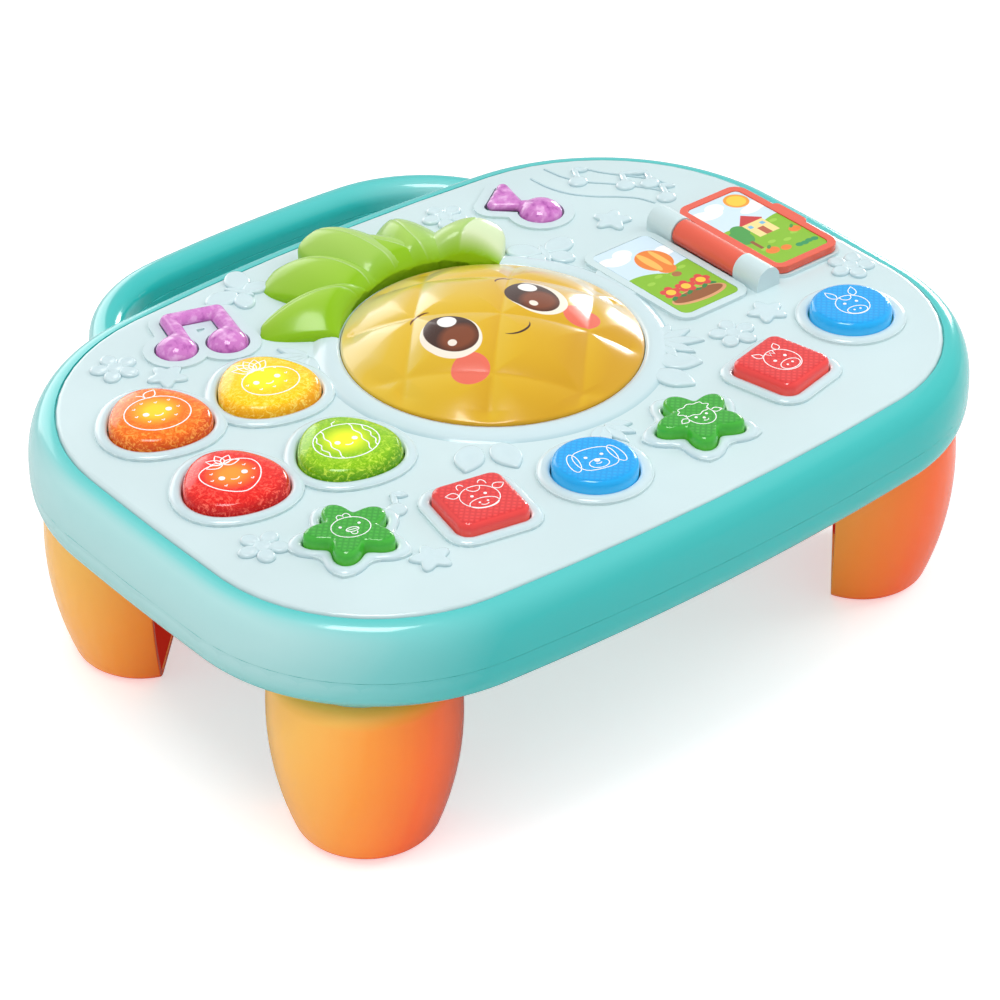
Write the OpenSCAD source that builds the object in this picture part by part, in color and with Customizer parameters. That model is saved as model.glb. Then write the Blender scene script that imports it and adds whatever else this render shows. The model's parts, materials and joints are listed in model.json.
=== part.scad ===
// Musical activity table for babies: a low play panel in a bull-nosed frame with a carry
// handle, on four half-barrel legs. Millimetres, +Z up. The origin is on the floor, at the
// centre of the table's outer box. +Y is the side of the carry handle, -Y the child's side.

/* [Play panel] */
// Height of the play panel's face above the floor
table_h = 128; // [124:1:134]
// Half length of the panel
panel_half = 190; // [180:1:200]
// Reach of the panel towards the child, from the panel's centre
panel_front = 133; // [128:1:138]
// Reach of the panel towards the handle
panel_back = 141.5; // [138:0.5:145]
// Where the short sides are widest, behind (+) or before (-) the panel's centre
side_y = -5.5; // [-8:0.5:0]
// Radius of the bow of the front side
front_bow_r = 1250; // [1100:10:1500]
// Radius of the bow of the back side
back_bow_r = 1100; // [1000:10:1300]
// Radius of the bow of the short sides
side_bow_r = 1700; // [1500:10:2000]
// Radius of the two front corners
front_corner_r = 83; // [78:1:88]
// Radius of the two back corners
back_corner_r = 96; // [90:1:98]
// Wall of the panel
panel_t = 2.6; // [2.4:0.1:3]
// Rounding of the panel's edge
panel_edge_r = 2.2; // [1:0.1:2.2]
// Height of the raised collars round the buttons
collar_h = 1.3; // [0.8:0.1:2]
// Width of the raised collars round the buttons
collar_w = 5; // [3:0.1:6]

/* [Frame and base] */
// How far the frame stands out past the panel
rim_out = 13; // [11:0.5:15]
// How far the panel stands proud of the frame
rim_drop = 1; // [0.5:0.1:1.5]
// Depth of the seam between frame and base below the panel's face
seam_depth = 24; // [22:0.5:26]
// Depth of the base's underside below the panel's face
base_depth = 40; // [38:0.5:44]
// Wall of the frame and of the base
wall = 2.5; // [2.2:0.1:3]
// Gap between the panel and the frame
panel_gap = 0.4; // [0.2:0.1:0.8]

/* [Carry handle] */
// Reach of the handle's middle line from the panel's centre
handle_reach = 189; // [185:0.5:194]
// Half width of the handle's middle line
handle_half = 115; // [112:0.5:117]
// Radius of the bow of the handle
handle_bow_r = 750; // [650:10:900]
// Radius of the handle's corners
handle_corner_r = 66; // [60:1:70]
// Thickness of the grip
handle_w = 16; // [14:0.5:18]
// Depth of the handle's top below the panel's face
handle_drop = 11.6; // [10:0.2:14]
// Sideways place of the handle
handle_x = 0; // [-3:1:3]

/* [Legs] */
// Sideways distance of a leg's axis from the middle
leg_x = 144; // [138:1:148]
// Distance of a leg's axis before and behind the panel's centre
leg_y = 81; // [76:1:84]
// Largest radius of a leg
leg_r = 41; // [39:0.5:42]
// Height at which a leg is widest
leg_belly_z = 60; // [50:1:64]
// Radius of the leg's barrel curve
leg_bow_r = 160; // [150:5:260]
// Rounding at the leg's foot and shoulder
leg_round = 8; // [6:0.5:9]
// Distance of the leg's flat inner side from its axis
leg_cut = 12; // [8:0.5:15]
// Wall of a leg
leg_wall = 3; // [2.4:0.1:4]
// Length of the boss under the base that a leg plugs into
boss_h = 4; // [2:0.5:6]
// Radius of the boss
boss_r = 33; // [32:0.5:34]
// Depth of the plug in the boss
plug_h = 12; // [8:0.5:14]

/* [Fruit buttons] */
// Mean radius of a fruit button
petal_r = 23; // [21:0.5:24]
// Height of a fruit button above the panel
petal_h = 7; // [5:0.5:9]

/* [Animal keys] */
// Radius of a round key
circle_r = 19.5; // [18:0.5:20]
// Side of a square key
square_side = 34; // [31:0.5:35]
// Corner radius of a square key
square_round = 6; // [4:0.5:8]
// Mean radius of a star key
star_r = 17.4; // [16:0.2:18]
// Height of a key above the panel
key_h = 7; // [5:0.5:8]

/* [Note buttons] */
// Radius of a note's head
note_head_r = 9.5; // [8:0.5:10]
// Width of a note's stem
note_stem_w = 8; // [6:0.5:9]
// Height of a note above the panel
note_h = 6; // [4:0.5:8]

/* [Button travel] */
// How far a button travels when pressed
button_travel = 3; // [2:0.5:3.5]
// Gap between a button and its hole
button_gap = 0.4; // [0.3:0.1:0.6]
// Overlap of a button's flange behind its hole
flange_w = 1.6; // [1:0.1:2]

/* [Pineapple dome] */
// Radius of the dome
dome_r = 67; // [62:0.5:68]
// Rise of the dome's crown above its edge
dome_rise = 19; // [15:0.5:23]
// Height of the dome's straight edge above the panel
dome_edge = 2.5; // [1:0.5:4]
// Wall of the dome
dome_t = 2.4; // [2:0.1:3]
// How far the dome travels when pressed
dome_travel = 4; // [2:0.5:4]
// Width of a diamond of the quilting, corner to corner
diamond = 54; // [44:1:64]
// Depth of the diamond grooves
groove_depth = 1.8; // [0.5:0.1:2.2]
// Width of the raised ring round the dome
dome_collar_w = 9; // [6:0.5:10]
// How full the faces of the crown's leaves are
leaf_swell = 1.6; // [0.4:0.2:2.4]

/* [Picture book] */
// Sideways place of the book's spine
spine_x = 133; // [131:0.5:135]
// Middle of the spine
spine_y = 12.5; // [10:0.5:14]
// Length of the spine
spine_len = 75; // [72:1:78]
// Radius of the spine
spine_r = 6.3; // [6:0.1:6.4]
// Length of the page's hinge barrel
barrel_len = 41; // [36:1:44]
// Radius of the hinge pin
pin_r = 2; // [1.5:0.1:2.5]
// Width of the page
page_w = 40; // [38:0.5:41]
// Length of the page
page_len = 71; // [68:1:72]
// Thickness of the page
page_t = 3.6; // [3:0.1:4]
// Width of the page's frame
page_border = 4; // [3:0.1:5]
// Height of the trays that the page lies on
tray_h = 1.8; // [1.6:0.1:2.4]

/* [Electronics and batteries] */
// Depth of the circuit boards' faces below the panel's face
board_depth = 13.2; // [13:0.1:14]
// Thickness of the circuit boards
board_t = 1.6; // [1.2:0.1:1.6]
// Thickness of the rubber keypads
keypad_t = 1.2; // [1:0.1:1.4]
// Outer radius of the loudspeaker
speaker_r = 25; // [23:0.5:27]
// Radius of an AA cell
cell_r = 7.1; // [7:0.05:7.25]
// Length of an AA cell
cell_len = 50.5; // [49.5:0.1:50.5]
// Travel of the sound switch
switch_travel = 6; // [4:0.5:8]

/* [Hidden] */

teal = [0.45, 0.78, 0.77];
ice = [0.80, 0.88, 0.90];
orange = [0.96, 0.50, 0.20];
board_green = [0.10, 0.40, 0.22];
rubber_grey = [0.72, 0.72, 0.70];
steel = [0.70, 0.70, 0.72];

eps = 0.01;
seat_gap = 0.3;
under_z = table_h - panel_t;
seam_z = table_h - seam_depth;
base_z = table_h - base_depth;
floor_z = base_z + wall;
leg_top = base_z - boss_h;
board_z = table_h - board_depth;
keypad_z = board_z + keypad_t;
handle_back = handle_reach + handle_w / 2;
table_y = (panel_front + rim_out - handle_back) / 2;

function unit(a) = [cos(a), sin(a)];

flange_t_button = 1.6;
flange_depth = panel_t + seat_gap + flange_t_button;
flange_z = table_h - flange_depth;
peg_len = 4;

// ---- Outline of the panel: four bowed sides joined by four tangent corner arcs ----

// Centre of the corner arc between a long side of the given reach and bow and the short
// side, seen from the point midway between the short sides.
function corner_centre(reach, bow_r, r) =
    let (
        bow_c = [0, reach - bow_r],
        side_c = [panel_half - side_bow_r, 0],
        d = side_c - bow_c,
        dist = norm(d),
        p = bow_r - r,
        q = side_bow_r - r,
        along = (p * p - q * q + dist * dist) / (2 * dist),
        across = sqrt(p * p - along * along)
    )
    bow_c + along * d / dist - across * [-d.y, d.x] / dist;

back_c = corner_centre(panel_back - side_y, back_bow_r, back_corner_r);
front_c = corner_centre(panel_front + side_y, front_bow_r, front_corner_r);
side_dx = panel_half - side_bow_r;
back_a = atan2(back_c.y, back_c.x - side_dx);
front_a = atan2(front_c.y, front_c.x - side_dx);
back_bow_a = atan2(back_c.y - (panel_back - side_y - back_bow_r), back_c.x);
front_bow_a = atan2(front_c.y - (panel_front + side_y - front_bow_r), front_c.x);

// Each arc of the outline, anticlockwise: centre, radius, first angle, last angle.
RING = [
    [[side_dx, side_y], side_bow_r, -front_a, back_a],
    [[back_c.x, side_y + back_c.y], back_corner_r, back_a, back_bow_a],
    [[0, panel_back - back_bow_r], back_bow_r, back_bow_a, 180 - back_bow_a],
    [[-back_c.x, side_y + back_c.y], back_corner_r, 180 - back_bow_a, 180 - back_a],
    [[-side_dx, side_y], side_bow_r, 180 - back_a, 180 + front_a],
    [[-front_c.x, side_y - front_c.y], front_corner_r, 180 + front_a, 180 + front_bow_a],
    [[0, front_bow_r - panel_front], front_bow_r, 180 + front_bow_a, 360 - front_bow_a],
    [[front_c.x, side_y - front_c.y], front_corner_r, 360 - front_bow_a, 360 - front_a]
];
sagitta = 0.2;

// Steps of an arc so that its chords stay within the sagitta.
function arc_steps(a) = ceil((a[3] - a[2]) * a[1] * PI / 180 / sqrt(8 * a[1] * sagitta));

// Points of the outline, a distance e outside the panel's edge.
function outline(e) = [
    for (a = RING) let (n = arc_steps(a))
        for (i = [0 : n - 1]) a[0] + (a[1] + e) * unit(a[2] + (a[3] - a[2]) * i / n)
];

// Joins rings of n points into one skin. Each ring lies below or inside the one before it.
function skin(n, rings, closed) = [
    for (k = [0 : rings - 1], i = [0 : closed ? n - 1 : n - 2])
        let (j = (i + 1) % n, p = k * n, q = (k + 1) % rings * n)
            each [[p + i, p + j, q + j], [p + i, q + j, q + i]]
];

// Carries a closed profile, drawn clockwise as (distance outside the edge, height), round
// the outline.
module around(profile) {
    n = len(outline(0));
    polyhedron(
        [for (p = profile, q = outline(p.x)) [q.x, q.y, p.y]],
        skin(n, len(profile), true)
    );
}

// Solid from stacked rings of n points, each [height, points], the lowest first.
module lofted(rings) {
    n = len(rings[0][1]);
    m = len(rings);
    polyhedron(
        [for (g = reversed(rings), p = g[1]) [p.x, p.y, g[0]]],
        concat(
            [[for (i = [n - 1 : -1 : 0]) i]],
            [[for (i = [0 : n - 1]) (m - 1) * n + i]],
            [for (f = skin(n, m, true)) if (max(f) - min(f) < 2 * n) f]
        )
    );
}

module plate(e, z, t) {
    translate([0, 0, z]) linear_extrude(t) polygon(outline(e));
}

// Quarter of a rounded square from (0, h) to (w, 0); n = 2 is an ellipse.
function bull_nose(w, h, n, steps) = [
    for (i = [0 : steps]) let (a = 90 - 90 * i / steps)
        [w * pow(cos(a), 2 / n), h * pow(sin(a), 2 / n)]
];

function shift(pts, dx, dy) = [for (p = pts) p + [dx, dy]];
function reversed(pts) = [for (i = [len(pts) - 1 : -1 : 0]) pts[i]];

// ---- Places of the buttons: panel coordinates and turn ----

STAR_L = [-134.3, -61.6];
SQUARE_L = [-80.4, -79.2];
CIRCLE_L = [-25.2, -87.6];
STAR_R = [31, -90];
SQUARE_R = [88.3, -80.5];
CIRCLE_R = [144.4, -66.3];
ORANGE_AT = [-145, 59];
PINEAPPLE_AT = [-94, 50];
STRAWBERRY_AT = [-149, -0.5];
MELON_AT = [-97, -10.5];
petal_tip = -42;
square_turn = -12;
NOTE_PAIR = [[-103.7, 102.1], [-82.5, 93], [-93.5, 122], [-72.5, 115]];
NOTE_SINGLE = [[98.3, 92.7], [93, 101], [97, 119.5], [83.5, 110.5]];

// ---- Outlines of the buttons, grown by e ----

function petal_edge(a) = petal_r * (1 + 0.035 * cos(a) + 0.05 * cos(3 * a));
function star_edge(a) = star_r * (1 + 0.235 * cos(5 * a) + 0.02 * cos(10 * a));
function petal_pts(e) = [for (i = [0 : 29]) (petal_edge(i * 12) + e) * unit(i * 12)];
function star_pts(e) = [for (i = [0 : 39]) (star_edge(i * 9) + e) * unit(i * 9)];

function square_pts(e) = [
    for (q = [0 : 3], i = [0 : 4])
        let (a = q * 90 + i * 22.5, m = square_side / 2 - square_round)
            m * [q == 0 || q == 3 ? 1 : -1, q < 2 ? 1 : -1] + (square_round + e) * unit(a)
];

// Bar with round ends from a to b, r to each side.
module bar(a, b, r) {
    turn = atan2(b.y - a.y, b.x - a.x);
    polygon(concat(
        [for (i = [0 : 8]) a + r * unit(turn + 90 + 22.5 * i)],
        [for (i = [0 : 8]) b + r * unit(turn - 90 + 22.5 * i)]
    ));
}

module note_pair_2d(e) {
    r = note_stem_w / 2 + e;
    for (i = [0, 1]) {
        translate(NOTE_PAIR[i]) circle(note_head_r + e, $fn = 48);
        bar(NOTE_PAIR[i] + [note_head_r - note_stem_w / 2 - 0.8, 2], NOTE_PAIR[i + 2], r);
    }
    bar(NOTE_PAIR[2], NOTE_PAIR[3], r);
}

// A head, a narrow neck and a flag that widens away from it.
module note_single_2d(e) {
    translate(NOTE_SINGLE[0]) circle(note_head_r + 1 + e, $fn = 48);
    for (i = [2, 3]) bar(NOTE_SINGLE[1], NOTE_SINGLE[i], note_stem_w / 2 - 0.6 + e);
    bar(NOTE_SINGLE[2], NOTE_SINGLE[3], note_stem_w / 2 - 0.8 + e);
    polygon([NOTE_SINGLE[1], NOTE_SINGLE[2], NOTE_SINGLE[3]]);
}

// The 2D outline of each kind of button at its own place.
module button_2d(kind, at, turn, e) {
    if (kind == "note_pair") note_pair_2d(e);
    if (kind == "note_single") note_single_2d(e);
    if (kind == "circle") translate(at) circle(circle_r + e, $fn = 72);
    if (kind == "petal") translate(at) rotate(turn) polygon(petal_pts(e));
    if (kind == "star") translate(at) rotate(turn) polygon(star_pts(e));
    if (kind == "square") translate(at) rotate(turn) polygon(square_pts(e));
}

// name, kind, place, turn, height above the panel
BUTTONS = [
    ["orange", "petal", ORANGE_AT, petal_tip, petal_h],
    ["pineapple", "petal", PINEAPPLE_AT, petal_tip, petal_h],
    ["strawberry", "petal", STRAWBERRY_AT, petal_tip, petal_h],
    ["melon", "petal", MELON_AT, petal_tip, petal_h],
    ["star_left", "star", STAR_L, 90 - 8, key_h],
    ["square_left", "square", SQUARE_L, square_turn, key_h],
    ["circle_left", "circle", CIRCLE_L, 0, key_h],
    ["star_right", "star", STAR_R, 90 + 4, key_h],
    ["square_right", "square", SQUARE_R, -square_turn, key_h],
    ["circle_right", "circle", CIRCLE_R, 0, key_h],
    ["note_pair", "note_pair", [0, 0], 0, note_h],
    ["note_single", "note_single", [0, 0], 0, note_h]
];
function button_row(name) = [for (b = BUTTONS) if (b[0] == name) b][0];

DOME_AT = [6, 17];
dome_hole_r = dome_r + button_gap;

// ---- Fixing posts and boards ----

CASE_POSTS = [[-121, 24], [160, 15], [-45, 122], [50, 124], [-52, -113], [60, -113]];
case_post_r = 4.2;
case_screw_r = 1.5;
case_post_z = base_z + 14;
BOARD_POSTS = [
    [-70, 20], [-122, 83], [-121, -33], [-169, 30], [-64.5, 99],
    [-109, -82], [-55, -88], [3, -72], [60, -84], [115, -72], [-140, -86], [134, -92],
    [78, 98], [112, 108]
];
board_post_r = 3;
screw_r = 1.2;
post_bore_depth = 9;

module post(p, r, z0, z1, bore) {
    translate([p.x, p.y, z0])
        difference() {
            cylinder(h = z1 - z0, r = r, $fn = 20);
            translate([0, 0, -eps]) cylinder(h = post_bore_depth, r = bore, $fn = 16);
        }
}

// ---- The play panel ----

module panel_plate() {
    r = panel_edge_r;
    steps = 4;
    lofted(concat(
        [[under_z, outline(0)]],
        [for (i = [0 : steps]) let (t = 90 * i / steps)
            [table_h - r + r * sin(t), outline(r * cos(t) - r)]]
    ));
}

// The shallow tray that the open page lies in, on the side given by its sign.
module tray(side) {
    w = tray_w;
    x0 = spine_x + side * (spine_r + 1.6);
    translate([side > 0 ? x0 : x0 - w, spine_y - page_len / 2 - 1, table_h - eps])
        difference() {
            rounded_block([w, page_len + 2, tray_h + eps], 8);
            translate([page_border, page_border, tray_h - tray_recess])
                rounded_block([w - 2 * page_border, page_len + 2 - 2 * page_border, 2], 4);
        }
}

module rounded_block(s, r) {
    linear_extrude(s.z) {
        translate([r, 0]) square([s.x - 2 * r, s.y]);
        translate([0, r]) square([s.x, s.y - 2 * r]);
        for (x = [r, s.x - r], y = [r, s.y - r]) translate([x, y]) circle(r, $fn = 32);
    }
}

tray_w = page_w + 2;
tray_recess = 0.6;
spine_z = table_h + tray_h + seat_gap + page_t / 2;
trough_r = spine_r + 0.6;
post_len = (spine_len - barrel_len) / 2 - 0.4;
pin_len = spine_len - 6;

module along_spine(y0, len, r, fn = 64) {
    translate([spine_x, y0 + len, spine_z]) rotate([90, 0, 0]) cylinder(h = len, r = r, $fn = fn);
}

module spine_post(y0) {
    r = spine_r + 0.5;
    along_spine(y0, post_len, r);
    translate([spine_x - r, y0, under_z]) cube([2 * r, post_len, spine_z - under_z]);
}

module top_panel() {
    color(ice)
    difference() {
        union() {
            panel_plate();
            for (b = BUTTONS)
                translate([0, 0, table_h - eps])
                    linear_extrude(collar_h + eps)
                        button_2d(b[1], b[2], b[3], button_gap + collar_w);
            translate([DOME_AT.x, DOME_AT.y, table_h - eps])
                cylinder(h = collar_h + eps, r = dome_hole_r + dome_collar_w, $fn = 120);
            tray(1);
            tray(-1);
            translate([spine_x - trough_r - wall, spine_y - spine_len / 2, spine_z - trough_r - wall])
                cube([2 * (trough_r + wall), spine_len, under_z - spine_z + trough_r + wall + eps]);
            spine_post(spine_y - spine_len / 2);
            spine_post(spine_y + spine_len / 2 - post_len);
            for (p = CASE_POSTS) post(p, case_post_r, case_post_z, under_z + eps, case_screw_r + 0.05);
            for (p = BOARD_POSTS) post(p, board_post_r, board_z, under_z + eps, screw_r + 0.05);
        }
        for (b = BUTTONS)
            translate([0, 0, under_z - 1])
                linear_extrude(panel_t + collar_h + 2)
                    button_2d(b[1], b[2], b[3], button_gap);
        translate([DOME_AT.x, DOME_AT.y, under_z - 1])
            cylinder(h = panel_t + collar_h + 2, r = dome_hole_r, $fn = 120);
        along_spine(spine_y - barrel_len / 2 - 0.4, barrel_len + 0.8, trough_r);
        along_spine(spine_y - pin_len / 2 - 0.1, spine_len, pin_r + 0.05);
    }
}

// ---- The frame that carries the panel, with the upper half of the carry handle ----

flange_in = 7;
flange_t = 2;
nose_sharp = 2.4;
base_sharp = 3;

function rim_profile() =
    let (
        top = seam_depth - rim_drop,
        in_top = under_z - flange_t - seam_z,
        outer = bull_nose(rim_out - panel_gap, top, nose_sharp, 10),
        inner = bull_nose(rim_out - panel_gap - wall, in_top, nose_sharp, 7)
    )
    concat(
        [[panel_gap, under_z]],
        shift(outer, panel_gap, seam_z),
        shift(reversed(inner), panel_gap, seam_z),
        [[-flange_in, seam_z + in_top], [-flange_in, under_z]]
    );

// ---- The carry handle: an upright slot section carried round a bowed loop ----

grip_top_z = table_h - handle_drop - handle_w / 2;
grip_low_z = base_z + handle_w / 2;
handle_corner = [handle_half - handle_corner_r,
    handle_reach - handle_bow_r + sqrt(pow(handle_bow_r - handle_corner_r, 2)
        - pow(handle_half - handle_corner_r, 2))];
handle_bow_a = atan2(handle_corner.y - handle_reach + handle_bow_r, handle_corner.x);
handle_root_y = handle_corner.y - 20;
grip_trim = rim_out - wall + 0.4;

// Half of the loop's line from its right root to its middle, a distance e outside.
function half_loop(e) = concat(
    [[handle_half + e, handle_root_y]],
    [for (i = [0 : 6]) handle_corner + (handle_corner_r + e) * unit(handle_bow_a * i / 6)],
    [for (i = [1 : 5])
        [0, handle_reach - handle_bow_r]
            + (handle_bow_r + e) * unit(handle_bow_a + (90 - handle_bow_a) * i / 5)]
);
function mirrored(pts) = [for (p = pts) [-p.x, p.y]];
function loop(e) =
    let (half = half_loop(e), rest = reversed(mirrored(half)))
    concat(half, [for (i = [1 : len(rest) - 1]) rest[i]]);

// Half of the grip's wall: an arch over the seam, or the trough below it.
function arch(r, upper) =
    let (s = upper ? -1 : 1, z = upper ? grip_top_z : grip_low_z, a = upper ? 180 : 0)
    concat([[s * r, seam_z]], [for (i = [0 : 8]) [0, z] + r * unit(a - 22.5 * i)], [[-s * r, seam_z]]);
function grip_profile(upper) =
    concat(arch(handle_w / 2, upper), reversed(arch(handle_w / 2 - wall, upper)));

module carry_handle(upper) {
    profile = grip_profile(upper);
    m = len(profile);
    n = len(loop(0));
    half = m / 2 - 2;
    difference() {
        translate([handle_x, 0, 0])
            polyhedron(
                [for (p = profile, q = loop(p.x)) [q.x, q.y, p.y]],
                concat(
                    skin(n, m, false),
                    [for (k = [0 : half]) n * [k, k + 1, m - 2 - k, m - 1 - k]],
                    [for (k = [0 : half])
                        n * [m - 1 - k, m - 2 - k, k + 1, k] + (n - 1) * [1, 1, 1, 1]]
                )
            );
        plate(grip_trim, base_z - 1, table_h - base_z);
    }
}

module rim_frame() {
    color(teal) {
        around(rim_profile());
        carry_handle(true);
    }
}

// ---- The base shell: floor, leg bosses, battery pocket, lower half of the handle ----

floor_edge = -6;
ring_edge = floor_edge - 3;
tongue_h = 3;
tongue_w = 1.8;
tongue_gap = 0.3;

tongue_out = rim_out - wall - tongue_gap;

// The wall of the base and, at its top, the tongue that locates the frame.
function base_profile() =
    let (
        h = seam_z - base_z,
        outer = bull_nose(rim_out, h, base_sharp, 9),
        inner = bull_nose(rim_out - wall, h - wall, base_sharp, 6)
    )
    concat(
        [[ring_edge, floor_z]],
        [for (i = [0 : 5]) [inner[i].x, seam_z - inner[i].y]],
        [[tongue_out - tongue_w, seam_z - tongue_h - 1], [tongue_out - tongue_w, seam_z + tongue_h],
            [tongue_out, seam_z + tongue_h], [tongue_out, seam_z]],
        [for (p = reversed(outer)) [p.x, seam_z - p.y]],
        [[ring_edge, base_z]]
    );

// name, sign of x, sign of y, heading of the flat inner side
LEGS = [
    ["leg_front_left", -1, -1, 45],
    ["leg_front_right", 1, -1, 135],
    ["leg_back_left", -1, 1, -45],
    ["leg_back_right", 1, 1, -135]
];
socket_r = boss_r - wall;

// A round bar with one flat side, r in radius, the flat a distance d from the axis.
module flatted(r, d, h, turn) {
    rotate([0, 0, turn])
        difference() {
            cylinder(h = h, r = r, $fn = 96);
            translate([d, -r - 1, -1]) cube([r + 1, 2 * r + 2, h + 2]);
        }
}

battery_at = [85, 5];
cell_pitch = 2 * cell_r + 0.8;
contact_room = 4.5;
pocket = [cell_len + 2 * contact_room, 2 * cell_pitch + 2 * cell_r + 2.4, 2 * cell_r + 0.9];
pocket_wall = 2.2;
door_t = 2.2;
door_lap = 3;
door_tail = 7;
door_gap = 0.3;
door_x0 = -pocket.x / 2 - door_lap;
door_len = pocket.x + 2 * door_lap + door_tail;
door_wid = pocket.y + 2 * door_lap;
door_screw_x = pocket.x / 2 + door_lap + door_tail / 2 - 1;
ledge_t = 2.8;

module battery_pocket_walls() {
    translate([battery_at.x, battery_at.y, base_z]) {
        translate([door_x0 - 3, -door_wid / 2 - 3, 0])
            cube([door_len + 6, door_wid + 6, door_t + ledge_t]);
        translate([-pocket.x / 2 - pocket_wall, -pocket.y / 2 - pocket_wall, 0])
            cube([pocket.x + 2 * pocket_wall, pocket.y + 2 * pocket_wall,
                door_t + pocket.z + pocket_wall]);
        translate([door_screw_x, 0, 0])
            cylinder(h = door_t + ledge_t + 5, r = 3.4, $fn = 24);
    }
}

module battery_pocket_space() {
    translate([battery_at.x, battery_at.y, base_z]) {
        translate([-pocket.x / 2, -pocket.y / 2, -1]) cube([pocket.x, pocket.y, 1 + door_t + pocket.z]);
        translate([door_x0 - door_gap, -door_wid / 2 - door_gap, -1])
            cube([door_len + 2 * door_gap, door_wid + 2 * door_gap, 1 + door_t]);
        translate([door_screw_x, 0, 0]) cylinder(h = door_t + ledge_t + 4, r = 1.3, $fn = 24);
    }
}

speaker_at = [-70, 5];
clamp_pin_at = speaker_r + 4.5;
clamp_pin_r = 1.4;
clamp_t = 1.2;
CLAMP_ANGLES = [90, 210, 330];
speaker_flange_t = 1.6;
grille_hole_r = 1.4;
grille_pitch = 5.6;

module speaker_seat() {
    translate([speaker_at.x, speaker_at.y, floor_z - eps]) {
        difference() {
            cylinder(h = speaker_flange_t + eps, r = speaker_r + 2.2, $fn = 72);
            translate([0, 0, -1]) cylinder(h = 9, r = speaker_r + 0.2, $fn = 72);
        }
        for (a = CLAMP_ANGLES)
            translate([clamp_pin_at * cos(a), clamp_pin_at * sin(a), 0]) {
                cylinder(h = speaker_flange_t + eps, r = 3, $fn = 24);
                cylinder(h = speaker_flange_t + clamp_t + 1, r = clamp_pin_r, $fn = 16);
            }
    }
}

module speaker_grille() {
    translate([speaker_at.x, speaker_at.y, base_z - 1]) {
        cylinder(h = wall + 2, r = grille_hole_r, $fn = 20);
        for (ring = [1 : 3], i = [0 : 6 * ring - 1])
            rotate([0, 0, i * 60 / ring])
                translate([ring * grille_pitch, 0, 0])
                    cylinder(h = wall + 2, r = grille_hole_r, $fn = 20);
    }
}

switch_at = [6, -62];
knob = [6, 4.4];

module switch_seat() {
    for (s = [-1, 1])
        translate([switch_at.x + switch_travel / 2 - 11, switch_at.y + s * 5.6 - 0.8, floor_z - eps])
            cube([22, 1.6, 2]);
}

module switch_slot() {
    translate([switch_at.x - knob.x / 2 - 0.3, switch_at.y - knob.y / 2 - 0.3, base_z - 1])
        cube([knob.x + switch_travel + 0.6, knob.y + 0.6, wall + 2]);
}

// Guide of the dome: a stepped post; the return spring stands on its shoulder.
spring_seat_z = table_h - 16;
guide_r = 5;
guide_top_z = table_h - 4;
shoulder_r = 11;

module dome_guide() {
    translate([DOME_AT.x, DOME_AT.y, 0]) {
        translate([0, 0, floor_z - eps]) cylinder(h = spring_seat_z - floor_z, r = 7.5, $fn = 48);
        translate([0, 0, spring_seat_z - 2]) cylinder(h = 2, r = shoulder_r, $fn = 64);
        translate([0, 0, spring_seat_z - 3])
            cylinder(h = guide_top_z - spring_seat_z + 3, r = guide_r, $fn = 48);
    }
}

micro_at = [DOME_AT.x, DOME_AT.y + dome_hole_r - 0.9];
micro = [13, 6.5, 5.5];
micro_z = table_h - flange_depth - dome_travel - micro.z - 1.3;

module micro_tower() {
    translate([micro_at.x - micro.x / 2, micro_at.y - micro.y / 2, floor_z - eps])
        cube([micro.x, micro.y, micro_z - floor_z]);
}

head_depth = 8;
well_r = 5;
head_hole_r = 3.2;

module case_screw_wells() {
    for (p = CASE_POSTS)
        translate([p.x, p.y, base_z]) cylinder(h = case_post_z - base_z, r = well_r, $fn = 24);
}

module case_screw_holes() {
    for (p = CASE_POSTS)
        translate([p.x, p.y, base_z - 1]) {
            cylinder(h = case_post_z - base_z + 2, r = case_screw_r + 0.2, $fn = 16);
            cylinder(h = 1 + head_depth, r = head_hole_r, $fn = 24);
        }
}

module base_shell() {
    color(teal)
    difference() {
        union() {
            plate(floor_edge, base_z, wall);
            around(base_profile());
            carry_handle(false);
            for (l = LEGS)
                translate([l[1] * leg_x, l[2] * leg_y, leg_top])
                    cylinder(h = boss_h + plug_h + wall, r = boss_r, $fn = 96);
            battery_pocket_walls();
            speaker_seat();
            switch_seat();
            dome_guide();
            micro_tower();
            case_screw_wells();
        }
        for (l = LEGS)
            translate([l[1] * leg_x, l[2] * leg_y, leg_top - 1])
                flatted(socket_r, leg_cut - wall + 0.3, 1 + boss_h + plug_h, l[3]);
        battery_pocket_space();
        speaker_grille();
        switch_slot();
        case_screw_holes();
    }
}

// ---- Legs: half barrels, moulded hollow and open towards the middle of the table ----

function leg_profile(inset) =
    let (
        r = leg_round - inset,
        bow = leg_bow_r - inset,
        c = [leg_r - leg_bow_r, leg_belly_z],
        reach = leg_bow_r - leg_round,
        foot = [c.x + sqrt(reach * reach - pow(leg_belly_z - leg_round, 2)), leg_round],
        head = [c.x + sqrt(reach * reach - pow(leg_top - leg_round - leg_belly_z, 2)),
            leg_top - leg_round],
        foot_a = atan2(foot.y - c.y, foot.x - c.x),
        head_a = atan2(head.y - c.y, head.x - c.x)
    )
    concat(
        [[0, inset]],
        [for (i = [0 : 6]) foot + r * unit(-90 + (foot_a + 90) * i / 6)],
        [for (i = [1 : 11]) c + bow * unit(foot_a + (head_a - foot_a) * i / 12)],
        [for (i = [0 : 6]) head + r * unit(head_a + (90 - head_a) * i / 6)],
        [[0, leg_top - inset]]
    );

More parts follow.
